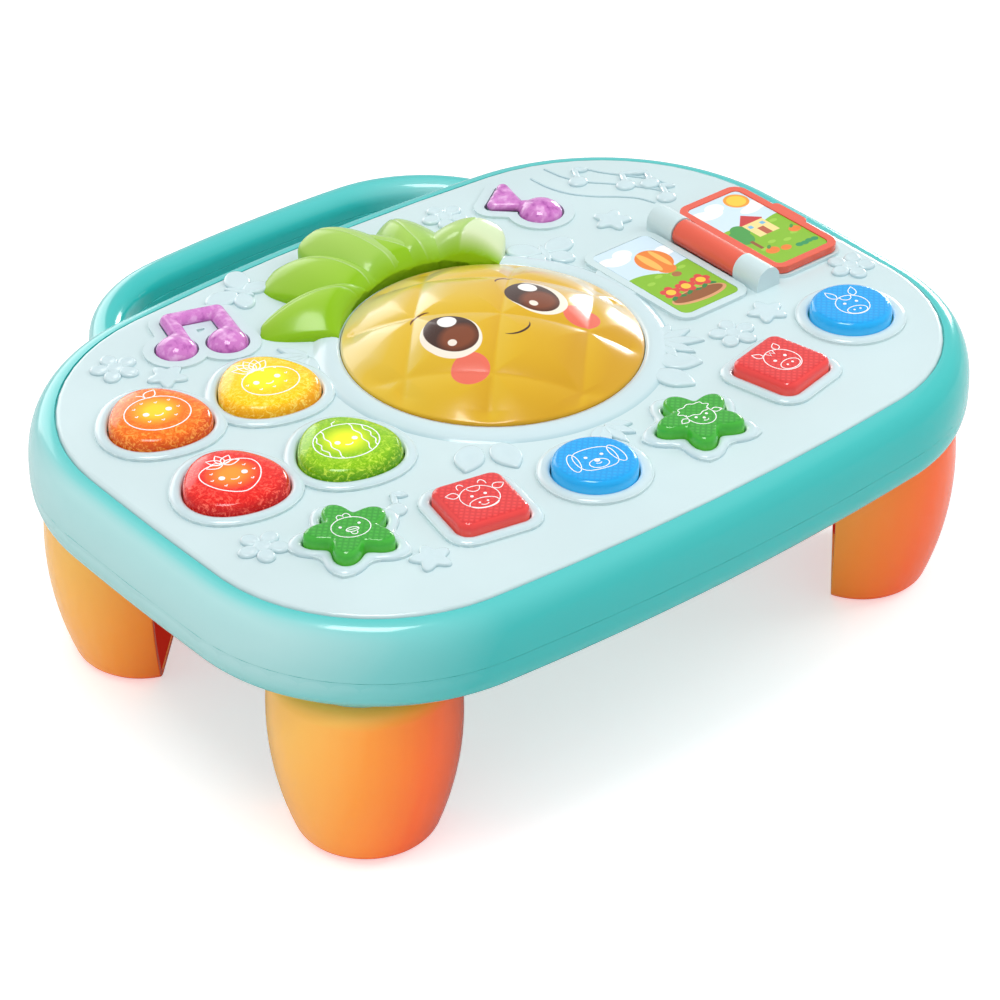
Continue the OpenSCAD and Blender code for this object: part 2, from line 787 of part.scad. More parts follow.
module leg(l) {
    color(orange)
    translate([l[1] * leg_x, l[2] * leg_y, 0]) {
        rotate([0, 0, l[3]])
            difference() {
                rotate_extrude($fn = 120) polygon(leg_profile(0));
                rotate_extrude($fn = 120) polygon(leg_profile(leg_wall));
                translate([leg_cut, -leg_r - 1, -1]) cube([leg_r, 2 * leg_r + 2, leg_top + 2]);
            }
        translate([0, 0, leg_top - eps])
            difference() {
                flatted(socket_r - seat_gap, leg_cut - wall, boss_h + plug_h - seat_gap, l[3]);
                translate([0, 0, 2])
                    flatted(socket_r - seat_gap - leg_wall, leg_cut - wall - leg_wall,
                        boss_h + plug_h, l[3]);
            }
    }
}

module leg_front_left() {
    leg(LEGS[0]);
}

module leg_front_right() {
    leg(LEGS[1]);
}

module leg_back_left() {
    leg(LEGS[2]);
}

module leg_back_right() {
    leg(LEGS[3]);
}

// ---- Buttons ----

function button_pts(kind, e) = kind == "star" ? star_pts(e) : square_pts(e);

// Cap of a button above its flange: straight sides and a rounded brow, domed on the petals.
module button_cap(b) {
    z0 = flange_z;
    top = table_h + b[4];
    at = b[2];
    if (b[1] == "note_pair" || b[1] == "note_single") {
        translate([0, 0, z0]) linear_extrude(top - 1.5 - z0) button_2d(b[1], at, 0, 0);
        translate([0, 0, z0]) linear_extrude(top - z0) button_2d(b[1], at, 0, -1.4);
    } else if (b[1] == "circle") {
        translate([at.x, at.y, z0]) rotate_extrude($fn = 96) circle_cap_2d(top - z0);
    } else if (b[1] == "petal") {
        translate([at.x, at.y, 0]) rotate([0, 0, b[3]])
            lofted([
                [z0, petal_pts(0)], [top - 3, petal_pts(0)], [top - 1.4, petal_pts(-0.9)],
                [top - 0.2, petal_pts(-3)], [top + 0.9, petal_pts(-8)], [top + 1.5, petal_pts(-15)]
            ]);
    } else {
        translate([at.x, at.y, 0]) rotate([0, 0, b[3]])
            lofted([
                [z0, button_pts(b[1], 0)], [top - 1.8, button_pts(b[1], 0)],
                [top - 0.5, button_pts(b[1], -0.7)], [top, button_pts(b[1], -2)]
            ]);
    }
}

module circle_cap_2d(h) {
    r = 2;
    polygon(concat(
        [[0, 0], [circle_r, 0]],
        [for (i = [0 : 5]) [circle_r - r, h - r] + r * unit(i * 18)],
        [[0, h]]
    ));
}

// Distance of the pegs from the middle of a button, and radius of the hollow between them.
function peg_at(b) = b[1] == "star" ? 12 : 14.5;
function hollow_r(b) = b[1] == "star" ? 9 : 11;

// Places of the two pegs under each kind of button, which press the rubber keypad.
function peg_places(b) =
    b[1] == "note_pair" ? [NOTE_PAIR[0], NOTE_PAIR[1]]
    : b[1] == "note_single" ? [NOTE_SINGLE[0], NOTE_SINGLE[1]]
    : [for (s = [-1, 1]) b[2] + s * peg_at(b) * unit(b[3] + 90)];

module button(name) {
    b = button_row(name);
    note = b[1] == "note_pair" || b[1] == "note_single";
    difference() {
        union() {
            button_cap(b);
            translate([0, 0, flange_z])
                linear_extrude(flange_t_button) button_2d(b[1], b[2], b[3], button_gap + flange_w);
            for (p = peg_places(b))
                translate([p.x, p.y, flange_z - peg_len]) cylinder(h = peg_len + eps, r = 2, $fn = 24);
        }
        if (!note)
            translate([b[2].x, b[2].y, flange_z - 1])
                cylinder(h = table_h + b[4] - 2 - flange_z + 1, r = hollow_r(b), $fn = 48);
    }
}

module button_orange() {
    color([0.94, 0.45, 0.12]) button("orange");
}

module button_pineapple() {
    color([0.98, 0.82, 0.08]) button("pineapple");
}

module button_strawberry() {
    color([0.90, 0.20, 0.12]) button("strawberry");
}

module button_melon() {
    color([0.50, 0.75, 0.10]) button("melon");
}

module key_star_left() {
    color([0.33, 0.70, 0.24]) button("star_left");
}

module key_square_left() {
    color([0.90, 0.22, 0.22]) button("square_left");
}

module key_circle_left() {
    color([0.16, 0.58, 0.90]) button("circle_left");
}

module key_star_right() {
    color([0.33, 0.70, 0.24]) button("star_right");
}

module key_square_right() {
    color([0.90, 0.22, 0.22]) button("square_right");
}

module key_circle_right() {
    color([0.16, 0.58, 0.90]) button("circle_right");
}

module note_pair_button() {
    color([0.82, 0.52, 0.80]) button("note_pair");
}

module note_single_button() {
    color([0.82, 0.52, 0.80]) button("note_single");
}

// ---- The pineapple dome ----

function sag(r, cap_r) = cap_r - sqrt(cap_r * cap_r - r * r);
cap_r = (dome_r * dome_r + dome_rise * dome_rise) / (2 * dome_rise);

// Depth of the diamond grooves at (x, y): two families of lines that cross on the slant.
function groove(x, y) =
    let (
        u = abs(sin(180 * (x + y + diamond / 9) / diamond)),
        v = abs(sin(180 * (x - y - diamond / 9) / diamond))
    )
    groove_depth * pow(1 - min(u, v), 2);
dome_peak_z = table_h + dome_edge + dome_rise;

module dome_skin() {
    n = 60;
    steps = 13;
    function ring(r) = [for (i = [0 : n - 1]) r * unit(360 * i / n)];
    rings = [for (k = [0 : steps]) dome_r * cos(90 * k / (steps + 1))];
    pts = concat(
        [[0, 0, dome_peak_z - groove(0, 0)]],
        [for (k = [steps : -1 : 0], p = ring(rings[k]))
            [p.x, p.y, dome_peak_z - sag(rings[k], cap_r)
                - groove(p.x, p.y) * min(1, (dome_r - rings[k]) / 6)]],
        [for (p = ring(dome_r)) [p.x, p.y, flange_z]]
    );
    polyhedron(pts, concat(
        [for (i = [0 : n - 1]) [0, 1 + (i + 1) % n, 1 + i]],
        [for (f = skin(n, steps + 2, true)) if (max(f) - min(f) < 2 * n) f + [1, 1, 1]],
        [[for (i = [0 : n - 1]) 1 + (steps + 1) * n + i]]
    ));
}

sleeve_r = 7.5;
sleeve_z = spring_seat_z + dome_travel + 0.5;
spring_len = 14;
spring_top_z = spring_seat_z + spring_len;

module pineapple_dome() {
    in_r = dome_r - dome_t;
    in_cap = cap_r - dome_t;
    in_top = dome_peak_z - dome_t - groove_depth;
    color("gold")
    translate([DOME_AT.x, DOME_AT.y, 0])
        difference() {
            union() {
                difference() {
                    union() {
                        dome_skin();
                        translate([0, 0, flange_z])
                            cylinder(h = flange_t_button, r = dome_hole_r + flange_w, $fn = 120);
                    }
                    rotate_extrude($fn = 72)
                        polygon(concat(
                            [[0, flange_z - 1], [in_r, flange_z - 1]],
                            [for (i = [0 : 12]) let (r = in_r * (1 - i / 12)) [r, in_top - sag(r, in_cap)]]
                        ));
                }
                translate([0, 0, spring_top_z])
                    cylinder(h = in_top - spring_top_z + 1, r = shoulder_r, $fn = 64);
                translate([0, 0, sleeve_z]) cylinder(h = in_top - sleeve_z, r = sleeve_r, $fn = 64);
            }
            translate([0, 0, sleeve_z - 1])
                cylinder(h = guide_top_z + dome_travel + 1 - sleeve_z + 1, r = guide_r + 0.1, $fn = 48);
        }
}

module dome_spring() {
    wire = 0.7;
    coil_r = 9.2;
    turns = 4.5;
    steps = 14;
    sides = 6;
    z0 = spring_seat_z + wire + 0.1;
    rise = spring_top_z - spring_seat_z - 2 * wire - 0.2;
    n = turns * steps;
    ring = [for (k = [0 : n], s = [0 : sides - 1])
        let (a = 360 * k / steps, r = coil_r + wire * cos(360 * s / sides))
            [r * cos(a), r * sin(a), z0 + rise * k / n + wire * sin(360 * s / sides)]];
    color(steel)
    translate([DOME_AT.x, DOME_AT.y, 0])
        polyhedron(ring, concat(
            [[for (s = [0 : sides - 1]) s]],
            [[for (s = [sides - 1 : -1 : 0]) n * sides + s]],
            [for (k = [0 : n - 1], s = [0 : sides - 1]) let (t = (s + 1) % sides, a = k * sides)
                [a + s, a + sides + s, a + sides + t]],
            [for (k = [0 : n - 1], s = [0 : sides - 1]) let (t = (s + 1) % sides, a = k * sides)
                [a + s, a + sides + t, a + t]]
        ));
}

module dome_switch() {
    color([0.15, 0.15, 0.16])
    translate([micro_at.x, micro_at.y, micro_z]) {
        translate([-micro.x / 2, -micro.y / 2, 0]) cube(micro);
        translate([-1.5, -1, micro.z - eps]) cube([3, 2, 1]);
    }
}

// ---- Crown of leaves ----

// Each leaf has a left edge, a right edge and a ridge, which run from its root to one tip.
// Rows: left root, left bend, right root, right bend, ridge root, ridge bend, tip. Places are
// from the dome's centre and heights from the top of the collar round it.
leaf_z = table_h + collar_h;
LEAVES = [
    [[-38, 42, 1], [-60, 64, 1], [-4, 62, 2], [-42, 88, 2], [-12, 58, 6], [-40, 72, 21], [-71, 74, 2]],
    [[-38, 60, 1], [-53, 92, 1], [-4, 66, 2], [-10, 102, 2], [-14, 60, 6], [-20, 92, 21], [-40, 112, 3]],
    [[-18, 62, 2], [-32, 104, 8], [16, 64, 2], [14, 104, 7], [2, 60, 8], [-4, 92, 22], [-11, 111, 13]],
    [[0, 60, 1], [2, 98, 4], [38, 58, 1], [40, 86, 3], [18, 60, 8], [14, 84, 22], [25, 102, 9]],
    [[-22, 58, 1], [-22, 88, 10], [34, 60, 2], [20, 88, 8], [22, 58, 5], [9, 76, 17], [-3, 94, 14]],
    [[12, 74, 1], [34, 84, 10], [46, 50, 1], [60, 58, 6], [28, 58, 9], [33, 65, 20], [49, 70, 15]]
];

function bezier(a, b, c, t) = (1 - t) * (1 - t) * a + 2 * t * (1 - t) * b + t * t * c;

// Solid leaf: two full faces that meet in the ridge, on walls that stand on the panel.
module leaf(g) {
    stations = 7;
    pts = [for (k = [0 : stations])
        let (
            t = k / stations * 0.97,
            left = bezier(g[0], g[1], g[6], t),
            right = bezier(g[2], g[3], g[6], t),
            ridge = bezier(g[4], g[5], g[6], t),
            swell = [0, 0, leaf_swell * (1 - t)]
        )
            each [
                [left.x, left.y, -collar_h - 1], left,
                (2 * left + ridge) / 3 + swell, (left + 2 * ridge) / 3 + swell, ridge,
                (left + right + 2 * ridge) / 4 + (right - left) / 12 + swell / 2,
                right, [right.x, right.y, -collar_h - 1]
            ]];
    n = 8;
    translate([0, 0, leaf_z])
        polyhedron(pts, concat(
            [[for (i = [0 : n - 1]) i]],
            [[for (i = [n - 1 : -1 : 0]) stations * n + i]],
            [for (k = [0 : stations - 1], i = [0 : n - 1]) let (j = (i + 1) % n, a = k * n)
                [a + i, a + n + i, a + n + j]],
            [for (k = [0 : stations - 1], i = [0 : n - 1]) let (j = (i + 1) % n, a = k * n)
                [a + i, a + n + j, a + j]]
        ));
}

module crown_leaves() {
    color([0.62, 0.80, 0.25])
    translate([DOME_AT.x, DOME_AT.y, 0])
        difference() {
            for (g = LEAVES) leaf(g);
            translate([0, 0, table_h - 5]) cylinder(h = 60, r = dome_hole_r + 0.4, $fn = 120);
            translate([0, 0, table_h - 5])
                cylinder(h = collar_h + 5, r = dome_hole_r + dome_collar_w + 0.1, $fn = 120);
            translate([-panel_half, -panel_half, table_h - 5]) cube([2 * panel_half, 2 * panel_half, 5]);
        }
}

// ---- The picture book: a hinged page over two trays ----

page_x0 = spine_r + 1.8;

module page_frame() {
    y0 = spine_y - page_len / 2;
    color([0.93, 0.36, 0.26])
    difference() {
        union() {
            along_spine(spine_y - barrel_len / 2, barrel_len, spine_r);
            translate([spine_x + page_x0, y0, spine_z - page_t / 2])
                rounded_block([page_w, page_len, page_t], 7);
            translate([spine_x + page_x0, y0 + 0.35 * page_len, spine_z - page_t / 2])
                rounded_block([page_w + 2.4, 0.3 * page_len, page_t], 2.4);
            translate([spine_x, spine_y - barrel_len / 2, spine_z - page_t / 2])
                cube([page_x0 + 3, barrel_len, page_t]);
        }
        translate([spine_x + page_x0 + page_border, y0 + page_border, spine_z - page_t])
            rounded_block([page_w - 2 * page_border, page_len - 2 * page_border, 2 * page_t], 3);
        along_spine(spine_y - barrel_len / 2 - 1, barrel_len + 2, pin_r + 0.08, 48);
    }
}

module card(x, z, s) {
    translate([x - s.x / 2, spine_y - s.y / 2, z]) rounded_block(s, 3);
}

module page_card() {
    color([0.75, 0.88, 0.70])
    card(spine_x + page_x0 + page_w / 2, spine_z - page_t / 2 + 0.5,
        [page_w - 2 * page_border - 0.2, page_len - 2 * page_border - 0.2, page_t - 1]);
}

module tray_card(side) {
    color([0.75, 0.88, 0.70])
    card(spine_x + side * (spine_r + 1.6 + tray_w / 2), table_h + tray_h - tray_recess,
        [tray_w - 2 * page_border - 0.6, page_len + 2 - 2 * page_border - 0.6, tray_recess - 0.1]);
}

module picture_left() {
    tray_card(-1);
}

module picture_right() {
    tray_card(1);
}

module hinge_pin() {
    color(steel) along_spine(spine_y - pin_len / 2, pin_len, pin_r, 48);
}

// ---- Circuit boards, rubber keypads and lamps ----

MAIN_AREA = [[-174, -38, 108, 124], [-118, 80, 56, 46]];
ANIMAL_AREA = [[-156, -108, 320, 62]];
NOTE_AREA = [[70, 84, 50, 40]];

module sheet(areas, inset, z, t, post_hole) {
    difference() {
        for (a = areas)
            translate([a[0] + inset, a[1] + inset, z])
                rounded_block([a[2] - 2 * inset, a[3] - 2 * inset, t], 6);
        for (p = BOARD_POSTS) translate([p.x, p.y, z - 1]) cylinder(h = t + 2, r = post_hole, $fn = 32);
        for (p = CASE_POSTS)
            translate([p.x, p.y, z - 1]) cylinder(h = t + 2, r = case_post_r + 0.6, $fn = 32);
    }
}

module board(areas) {
    color(board_green) sheet(areas, 0, board_z - board_t, board_t, screw_r + 0.2);
}

module keypad(areas, lamps) {
    color(rubber_grey)
    difference() {
        sheet(areas, 2, board_z, keypad_t, board_post_r + 0.4);
        for (b = BUTTONS)
            if (lamps && b[1] == "petal")
                translate([b[2].x, b[2].y, board_z - 1]) cylinder(h = 4, r = 3.6, $fn = 32);
    }
}

module main_board() {
    board(MAIN_AREA);
}

module animal_board() {
    board(ANIMAL_AREA);
}

module note_board() {
    board(NOTE_AREA);
}

module fruit_keypad() {
    keypad(MAIN_AREA, true);
}

module animal_keypad() {
    keypad(ANIMAL_AREA, false);
}

module note_keypad() {
    keypad(NOTE_AREA, false);
}

module led_lamps() {
    color([0.95, 0.95, 0.9])
    for (b = BUTTONS)
        if (b[1] == "petal")
            translate([b[2].x, b[2].y, board_z]) {
                cylinder(h = 1, r = 2.9, $fn = 32);
                cylinder(h = 4, r = 2.5, $fn = 32);
                translate([0, 0, 4]) sphere(2.5, $fn = 32);
            }
}

// ---- Loudspeaker ----

module loudspeaker() {
    r = speaker_r;
    color([0.2, 0.2, 0.22])
    translate([speaker_at.x, speaker_at.y, floor_z])
        rotate_extrude($fn = 96)
            polygon([
                [0, 4], [7, 3.2], [r - 5, 0.8], [r - 4, 0], [r, 0], [r, speaker_flange_t],
                [r - 2.2, speaker_flange_t], [15.5, 9], [15.5, 16], [0, 16]
            ]);
}

module speaker_clamp() {
    color(steel)
    translate([speaker_at.x, speaker_at.y, floor_z + speaker_flange_t])
        difference() {
            union() {
                cylinder(h = clamp_t, r = speaker_r + 2, $fn = 72);
                for (a = CLAMP_ANGLES)
                    translate([clamp_pin_at * cos(a), clamp_pin_at * sin(a), 0])
                        cylinder(h = clamp_t, r = 3.6, $fn = 24);
            }
            translate([0, 0, -1]) cylinder(h = 4, r = speaker_r - 2, $fn = 72);
            for (a = CLAMP_ANGLES)
                translate([clamp_pin_at * cos(a), clamp_pin_at * sin(a), -1])
                    cylinder(h = 4, r = clamp_pin_r + 0.05, $fn = 16);
        }
}

// ---- Batteries, contacts, door ----

cell_z = base_z + door_t + cell_r + seat_gap;

module batteries() {
    color([0.85, 0.65, 0.25])
    for (i = [-1 : 1])
        translate([battery_at.x, battery_at.y + i * cell_pitch, cell_z])
            rotate([0, i == 0 ? -90 : 90, 0])
                translate([0, 0, -cell_len / 2]) {
                    cylinder(h = cell_len - 1, r = cell_r, $fn = 64);
                    cylinder(h = cell_len, r = 2.75, $fn = 32);
                }
}

module battery_contacts() {
    color(steel)
    for (s = [-1, 1], i = [-1 : 1]) {
        spring = (s < 0) == (i != 0);
        reach = contact_room - seat_gap;
        translate([battery_at.x + s * (pocket.x / 2 - 0.4 - 0.05), battery_at.y + i * cell_pitch, cell_z]) {
            translate([-0.2, -5.5, -5.5]) cube([0.5, 11, 11]);
            rotate([0, -90 * s, 0])
                if (spring)
                    rotate_extrude($fn = 48)
                        polygon([
                            [0, 0], [5, 0], [4.2, 0.7], [4.6, 1.2], [3.8, 1.9], [4.2, 2.4], [3.4, 3.1],
                            [3.7, 3.5], [3.2, reach - 0.6], [0, reach - 0.6]
                        ]);
                else
                    cylinder(h = reach - 0.6, r1 = 4, r2 = 2.4, $fn = 32);
        }
    }
}

door_head = 1.2;

module battery_door() {
    color(teal)
    translate([battery_at.x, battery_at.y, base_z])
        difference() {
            translate([door_x0, -door_wid / 2, 0]) rounded_block([door_len, door_wid, door_t], 2);
            translate([door_screw_x, 0, -1]) cylinder(h = 9, r = 1.7, $fn = 24);
            translate([door_screw_x, 0, -1]) cylinder(h = 1 + door_head, r = 3.1, $fn = 24);
        }
}

case_screw_len = 12;
board_screw_len = 6;
door_screw_len = 7;
case_head_h = 2;
board_head_h = 1.3;

module screw(length, head_r, head_h, shank_r) {
    difference() {
        cylinder(h = head_h, r = head_r, $fn = 32);
        for (a = [0, 90])
            rotate([0, 0, a]) translate([-head_r * 0.6, -0.3, -eps]) cube([head_r * 1.2, 0.6, 0.8]);
    }
    translate([0, 0, head_h - eps]) cylinder(h = length, r = shank_r, $fn = 24);
}

module door_screw() {
    color(steel)
    translate([battery_at.x + door_screw_x, battery_at.y, base_z])
        screw(door_screw_len, 2.8, door_head, screw_r);
}

module case_screws() {
    color(steel)
    for (p = CASE_POSTS)
        translate([p.x, p.y, base_z + head_depth - case_head_h])
            screw(case_screw_len, 2.9, case_head_h, case_screw_r);
}

module board_screws() {
    color(steel)
    for (p = BOARD_POSTS)
        translate([p.x, p.y, board_z - board_t - board_head_h])
            screw(board_screw_len, 2.2, board_head_h, screw_r);
}

// ---- Sound switch ----

module switch_knob() {
    color([0.95, 0.95, 0.92])
    translate([switch_at.x, switch_at.y, 0]) {
        translate([-knob.x / 2, -knob.y / 2, base_z - 1.2])
            cube([knob.x, knob.y, 1.2 + wall + seat_gap + 0.5]);
        translate([-knob.x / 2 - switch_travel, -4.5, floor_z + seat_gap])
            cube([knob.x + 2 * switch_travel, 9, 1.1]);
    }
}

module switch_body() {
    color([0.3, 0.3, 0.32])
    translate([switch_at.x + switch_travel / 2 - 10, switch_at.y - 6.4, floor_z + 2]) cube([20, 12.8, 6]);
}

// Every piece is drawn about the panel's centre and set back onto the origin here.
module seated() {
    translate([0, table_y, 0]) children();
}

seated() top_panel();
seated() rim_frame();
seated() base_shell();
seated() crown_leaves();
seated() pineapple_dome();
seated() leg_front_left();
seated() leg_front_right();
seated() leg_back_left();
seated() leg_back_right();
seated() button_orange();
seated() button_pineapple();
seated() button_strawberry();
seated() button_melon();
seated() key_star_left();
seated() key_square_left();
seated() key_circle_left();
seated() key_star_right();
seated() key_square_right();
seated() key_circle_right();
seated() note_pair_button();
seated() note_single_button();
seated() page_frame();
seated() page_card();
seated() picture_left();
seated() picture_right();
seated() hinge_pin();
seated() fruit_keypad();
seated() animal_keypad();
seated() note_keypad();
seated() main_board();
seated() animal_board();
seated() note_board();
seated() led_lamps();
seated() dome_spring();
seated() dome_switch();
seated() loudspeaker();
seated() speaker_clamp();
seated() batteries();
seated() battery_contacts();
seated() battery_door();
seated() door_screw();
seated() switch_knob();
seated() switch_body();
seated() case_screws();
seated() board_screws();
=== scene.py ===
import json
from math import atan2, cos, degrees, hypot, pi, radians, sin, sqrt

import bpy
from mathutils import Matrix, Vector


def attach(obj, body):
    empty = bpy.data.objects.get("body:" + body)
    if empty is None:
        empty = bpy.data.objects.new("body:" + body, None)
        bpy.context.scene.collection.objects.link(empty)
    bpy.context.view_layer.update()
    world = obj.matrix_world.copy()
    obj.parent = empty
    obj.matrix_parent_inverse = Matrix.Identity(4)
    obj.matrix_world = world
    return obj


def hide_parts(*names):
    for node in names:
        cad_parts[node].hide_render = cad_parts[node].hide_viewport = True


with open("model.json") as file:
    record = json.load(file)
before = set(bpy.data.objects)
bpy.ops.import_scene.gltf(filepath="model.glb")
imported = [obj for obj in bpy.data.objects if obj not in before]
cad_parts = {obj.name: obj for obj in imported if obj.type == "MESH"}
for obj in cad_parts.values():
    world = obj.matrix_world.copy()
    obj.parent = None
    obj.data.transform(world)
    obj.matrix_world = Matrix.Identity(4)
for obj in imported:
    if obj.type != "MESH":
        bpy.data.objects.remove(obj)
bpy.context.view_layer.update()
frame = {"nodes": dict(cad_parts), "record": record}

# ---- Floor, light and camera ----
# The table stands on a plain pale floor under two broad soft lamps: one nearly overhead, a
# little to the left, and a wider one from the right. The surroundings are white and light every
# side evenly. Three more lamps only gleam in the glossy plastic.


def feed(tree, node, feeds):
    """Fills a node's inputs with sockets or with plain values."""
    for name, value in feeds.items():
        if isinstance(value, bpy.types.NodeSocket):
            tree.links.new(value, node.inputs[name])
        else:
            node.inputs[name].default_value = value


def add_node(tree, kind, feeds=None, **settings):
    """New shader node with its settings and what feeds its inputs."""
    node = tree.nodes.new("ShaderNode" + kind)
    for name, value in settings.items():
        setattr(node, name, value)
    feed(tree, node, feeds or {})
    return node


def sum_up(tree, work, *values, clamp=False):
    """A Math node on sockets or plain numbers."""
    return add_node(tree, "Math", dict(enumerate(values)), operation=work, use_clamp=clamp).outputs[0]


def select_only(*pieces):
    """Selects these pieces alone and makes the first one active."""
    bpy.ops.object.select_all(action="DESELECT")
    for piece in pieces:
        piece.select_set(True)
    if pieces:
        bpy.context.view_layer.objects.active = pieces[0]


surround = bpy.data.worlds.new("white_surround")
bpy.context.scene.world = surround
surround.use_nodes = True
sky = surround.node_tree
sky.nodes.clear()
rays = add_node(sky, "LightPath").outputs
seen = sum_up(sky, "ADD", rays["Is Camera Ray"], rays["Is Glossy Ray"])
seen = sum_up(sky, "ADD", seen, rays["Is Transmission Ray"], clamp=True)
sky_light = add_node(sky, "Background", {"Color": (0.97, 0.985, 1.0, 1), "Strength": 0.6})
sky_seen = add_node(sky, "Background", {"Strength": 1.0})
sky_mix = add_node(sky, "MixShader", {0: seen, 1: sky_light.outputs[0], 2: sky_seen.outputs[0]})
add_node(sky, "OutputWorld", {"Surface": sky_mix.outputs[0]})

select_only()
bpy.ops.mesh.primitive_plane_add(size=12, location=(0, 0, 0))
floor = bpy.context.object
floor.name = "floor"
floor_paint = bpy.data.materials.new("floor_paint")
floor_paint.use_nodes = True
paint = floor_paint.node_tree
paint.nodes.clear()
paint_share = sum_up(paint, "MULTIPLY", add_node(paint, "LightPath").outputs["Is Camera Ray"], 0.53)
paint_glow = add_node(paint, "Emission", {"Color": (1.0, 0.935, 0.94, 1), "Strength": paint_share})
paint_matt = add_node(paint, "BsdfDiffuse", {"Color": (0.86, 0.86, 0.86, 1)})
paint_both = add_node(paint, "AddShader", {0: paint_matt.outputs[0], 1: paint_glow.outputs[0]})
add_node(paint, "OutputMaterial", {"Surface": paint_both.outputs[0]})
floor.data.materials.append(floor_paint)


def soft_lamp(name, place, width, power, light=True, gleam=True):
    """A square soft box that faces the middle of the table, seen as light, as a gleam or both."""
    lamp = bpy.data.lights.new(name, "AREA")
    lamp.size = width
    lamp.energy = power
    holder = bpy.data.objects.new(name, lamp)
    bpy.context.scene.collection.objects.link(holder)
    holder.location = place
    holder.visible_diffuse = light
    holder.visible_glossy = gleam
    aim = Vector((0, 0, 0.1)) - Vector(place)
    holder.rotation_mode = "QUATERNION"
    holder.rotation_quaternion = aim.to_track_quat("-Z", "Y")


soft_lamp("key_lamp", (-0.55, -0.1, 1.9), 0.9, 13, gleam=False)
soft_lamp("fill_lamp", (1.6, -0.6, 1.5), 1.4, 17, gleam=False)
soft_lamp("back_gleam", (0.25, 1.8, 0.65), 1.1, 9, light=False)
soft_lamp("right_gleam", (1.7, 0.8, 0.35), 0.5, 12, light=False)
soft_lamp("top_gleam", (-0.4, -0.25, 1.9), 0.7, 20, light=False)

camera_back = Vector((-0.5301, -0.6355, 0.5614))
camera = bpy.data.objects.new("camera", bpy.data.cameras.new("camera"))
bpy.context.scene.collection.objects.link(camera)
camera.location = (-0.8687, -1.06225, 0.975)
camera.rotation_mode = "QUATERNION"
camera.rotation_quaternion = (-camera_back).to_track_quat("-Z", "Y")
camera.data.sensor_width = 36
camera.data.lens = 131.5
bpy.context.scene.camera = camera
bpy.context.scene.view_settings.view_transform = "Standard"

# ---- The frame ----
# Glossy injection-moulded ring that holds the play panel. Its section is a full bull nose:
# nearly level beside the panel and nearly upright where it meets the base at the seam.

MM = 0.001
TABLE_Y = -25.5 * MM
panel_half = 190 * MM
panel_front = 133 * MM
panel_back = 141.5 * MM
side_y = -5.5 * MM
side_bow = 1700 * MM
front_bow, front_round = 1250 * MM, 83 * MM
back_bow, back_round = 1100 * MM, 96 * MM
frame_out = 12.95 * MM
panel_gap = 0.4 * MM
shell_wall = 2.5 * MM
frame_z = 127 * MM
seam_z = 104 * MM
base_z = 88 * MM
seam_gap = 0.2 * MM
seam_break = 0.25 * MM
nose_shape, nose_roof = 2.35, 4 * MM
lip_top = frame_z - 1.6 * MM
lip_reach, lip_wall = 7 * MM, 2 * MM
weld = 0.01 * MM


def srgb(red, green, blue):
    """Linear colour of an ordinary 0-255 screen colour."""
    parts = [v / 255 for v in (red, green, blue)]
    return tuple(v / 12.92 if v < 0.04 else ((v + 0.055) / 1.055) ** 2.4 for v in parts) + (1,)


def unit(angle):
    """Point on the unit circle at an angle in degrees."""
    return Vector((cos(radians(angle)), sin(radians(angle))))


def corner_centre(reach, bow, rounding):
    """Centre of the arc between a long side and a short one, from the short sides' middle."""
    from_bow = Vector((0, reach - bow))
    step = Vector((panel_half - side_bow, 0)) - from_bow
    p, q = bow - rounding, side_bow - rounding
    along = (p * p - q * q + step.length**2) / (2 * step.length)
    across = sqrt(p * p - along * along)
    left = Vector((-step.y, step.x))
    return from_bow + step * (along / step.length) - left * (across / step.length)


def outline_arcs():
    """Sides and corners of the panel's edge, anticlockwise: centre, radius, start and end angle."""
    back = corner_centre(panel_back - side_y, back_bow, back_round)
    front = corner_centre(panel_front + side_y, front_bow, front_round)
    side = panel_half - side_bow
    a = degrees(atan2(back.y, back.x - side))
    b = degrees(atan2(front.y, front.x - side))
    c = degrees(atan2(back.y - (panel_back - side_y - back_bow), back.x))
    d = degrees(atan2(front.y - (panel_front + side_y - front_bow), front.x))
    y = side_y + TABLE_Y
    return [
        (Vector((side, y)), side_bow, -b, a),
        (Vector((back.x, y + back.y)), back_round, a, c),
        (Vector((0, panel_back - back_bow + TABLE_Y)), back_bow, c, 180 - c),
        (Vector((-back.x, y + back.y)), back_round, 180 - c, 180 - a),
        (Vector((-side, y)), side_bow, 180 - a, 180 + b),
        (Vector((-front.x, y - front.y)), front_round, 180 + b, 180 + d),
        (Vector((0, front_bow - panel_front + TABLE_Y)), front_bow, 180 + d, 360 - d),
        (Vector((front.x, y - front.y)), front_round, 360 - d, 360 - b),
    ]


def closed_wire(name, points):
    """A loop of edges through the points: a circle of as many corners, pulled to its places."""
    select_only()
    bpy.ops.mesh.primitive_circle_add(vertices=len(points), radius=0.01, location=(0, 0, 0))
    piece = bpy.context.object
    piece.name = name
    for corner, point in zip(piece.data.vertices, points):
        corner.co = point
    return piece


def open_mesh():
    """Goes into edit mode with the whole mesh selected."""
    bpy.ops.object.mode_set(mode="EDIT")
    bpy.ops.mesh.select_all(action="SELECT")


def spin_on(angle, centre, steps):
    """Spins the selected section anticlockwise about an upright axis; its new end is selected."""
    centre = (centre.x, centre.y, 0)
    bpy.ops.mesh.spin(steps=steps, angle=-radians(angle), center=centre, axis=(0, 0, 1))


def close_skin():
    """Welds the ends of a sweep and turns all its faces outwards."""
    bpy.ops.mesh.select_all(action="SELECT")
    bpy.ops.mesh.remove_doubles(threshold=weld)
    bpy.ops.mesh.normals_make_consistent(inside=False)
    bpy.ops.object.mode_set(mode="OBJECT")


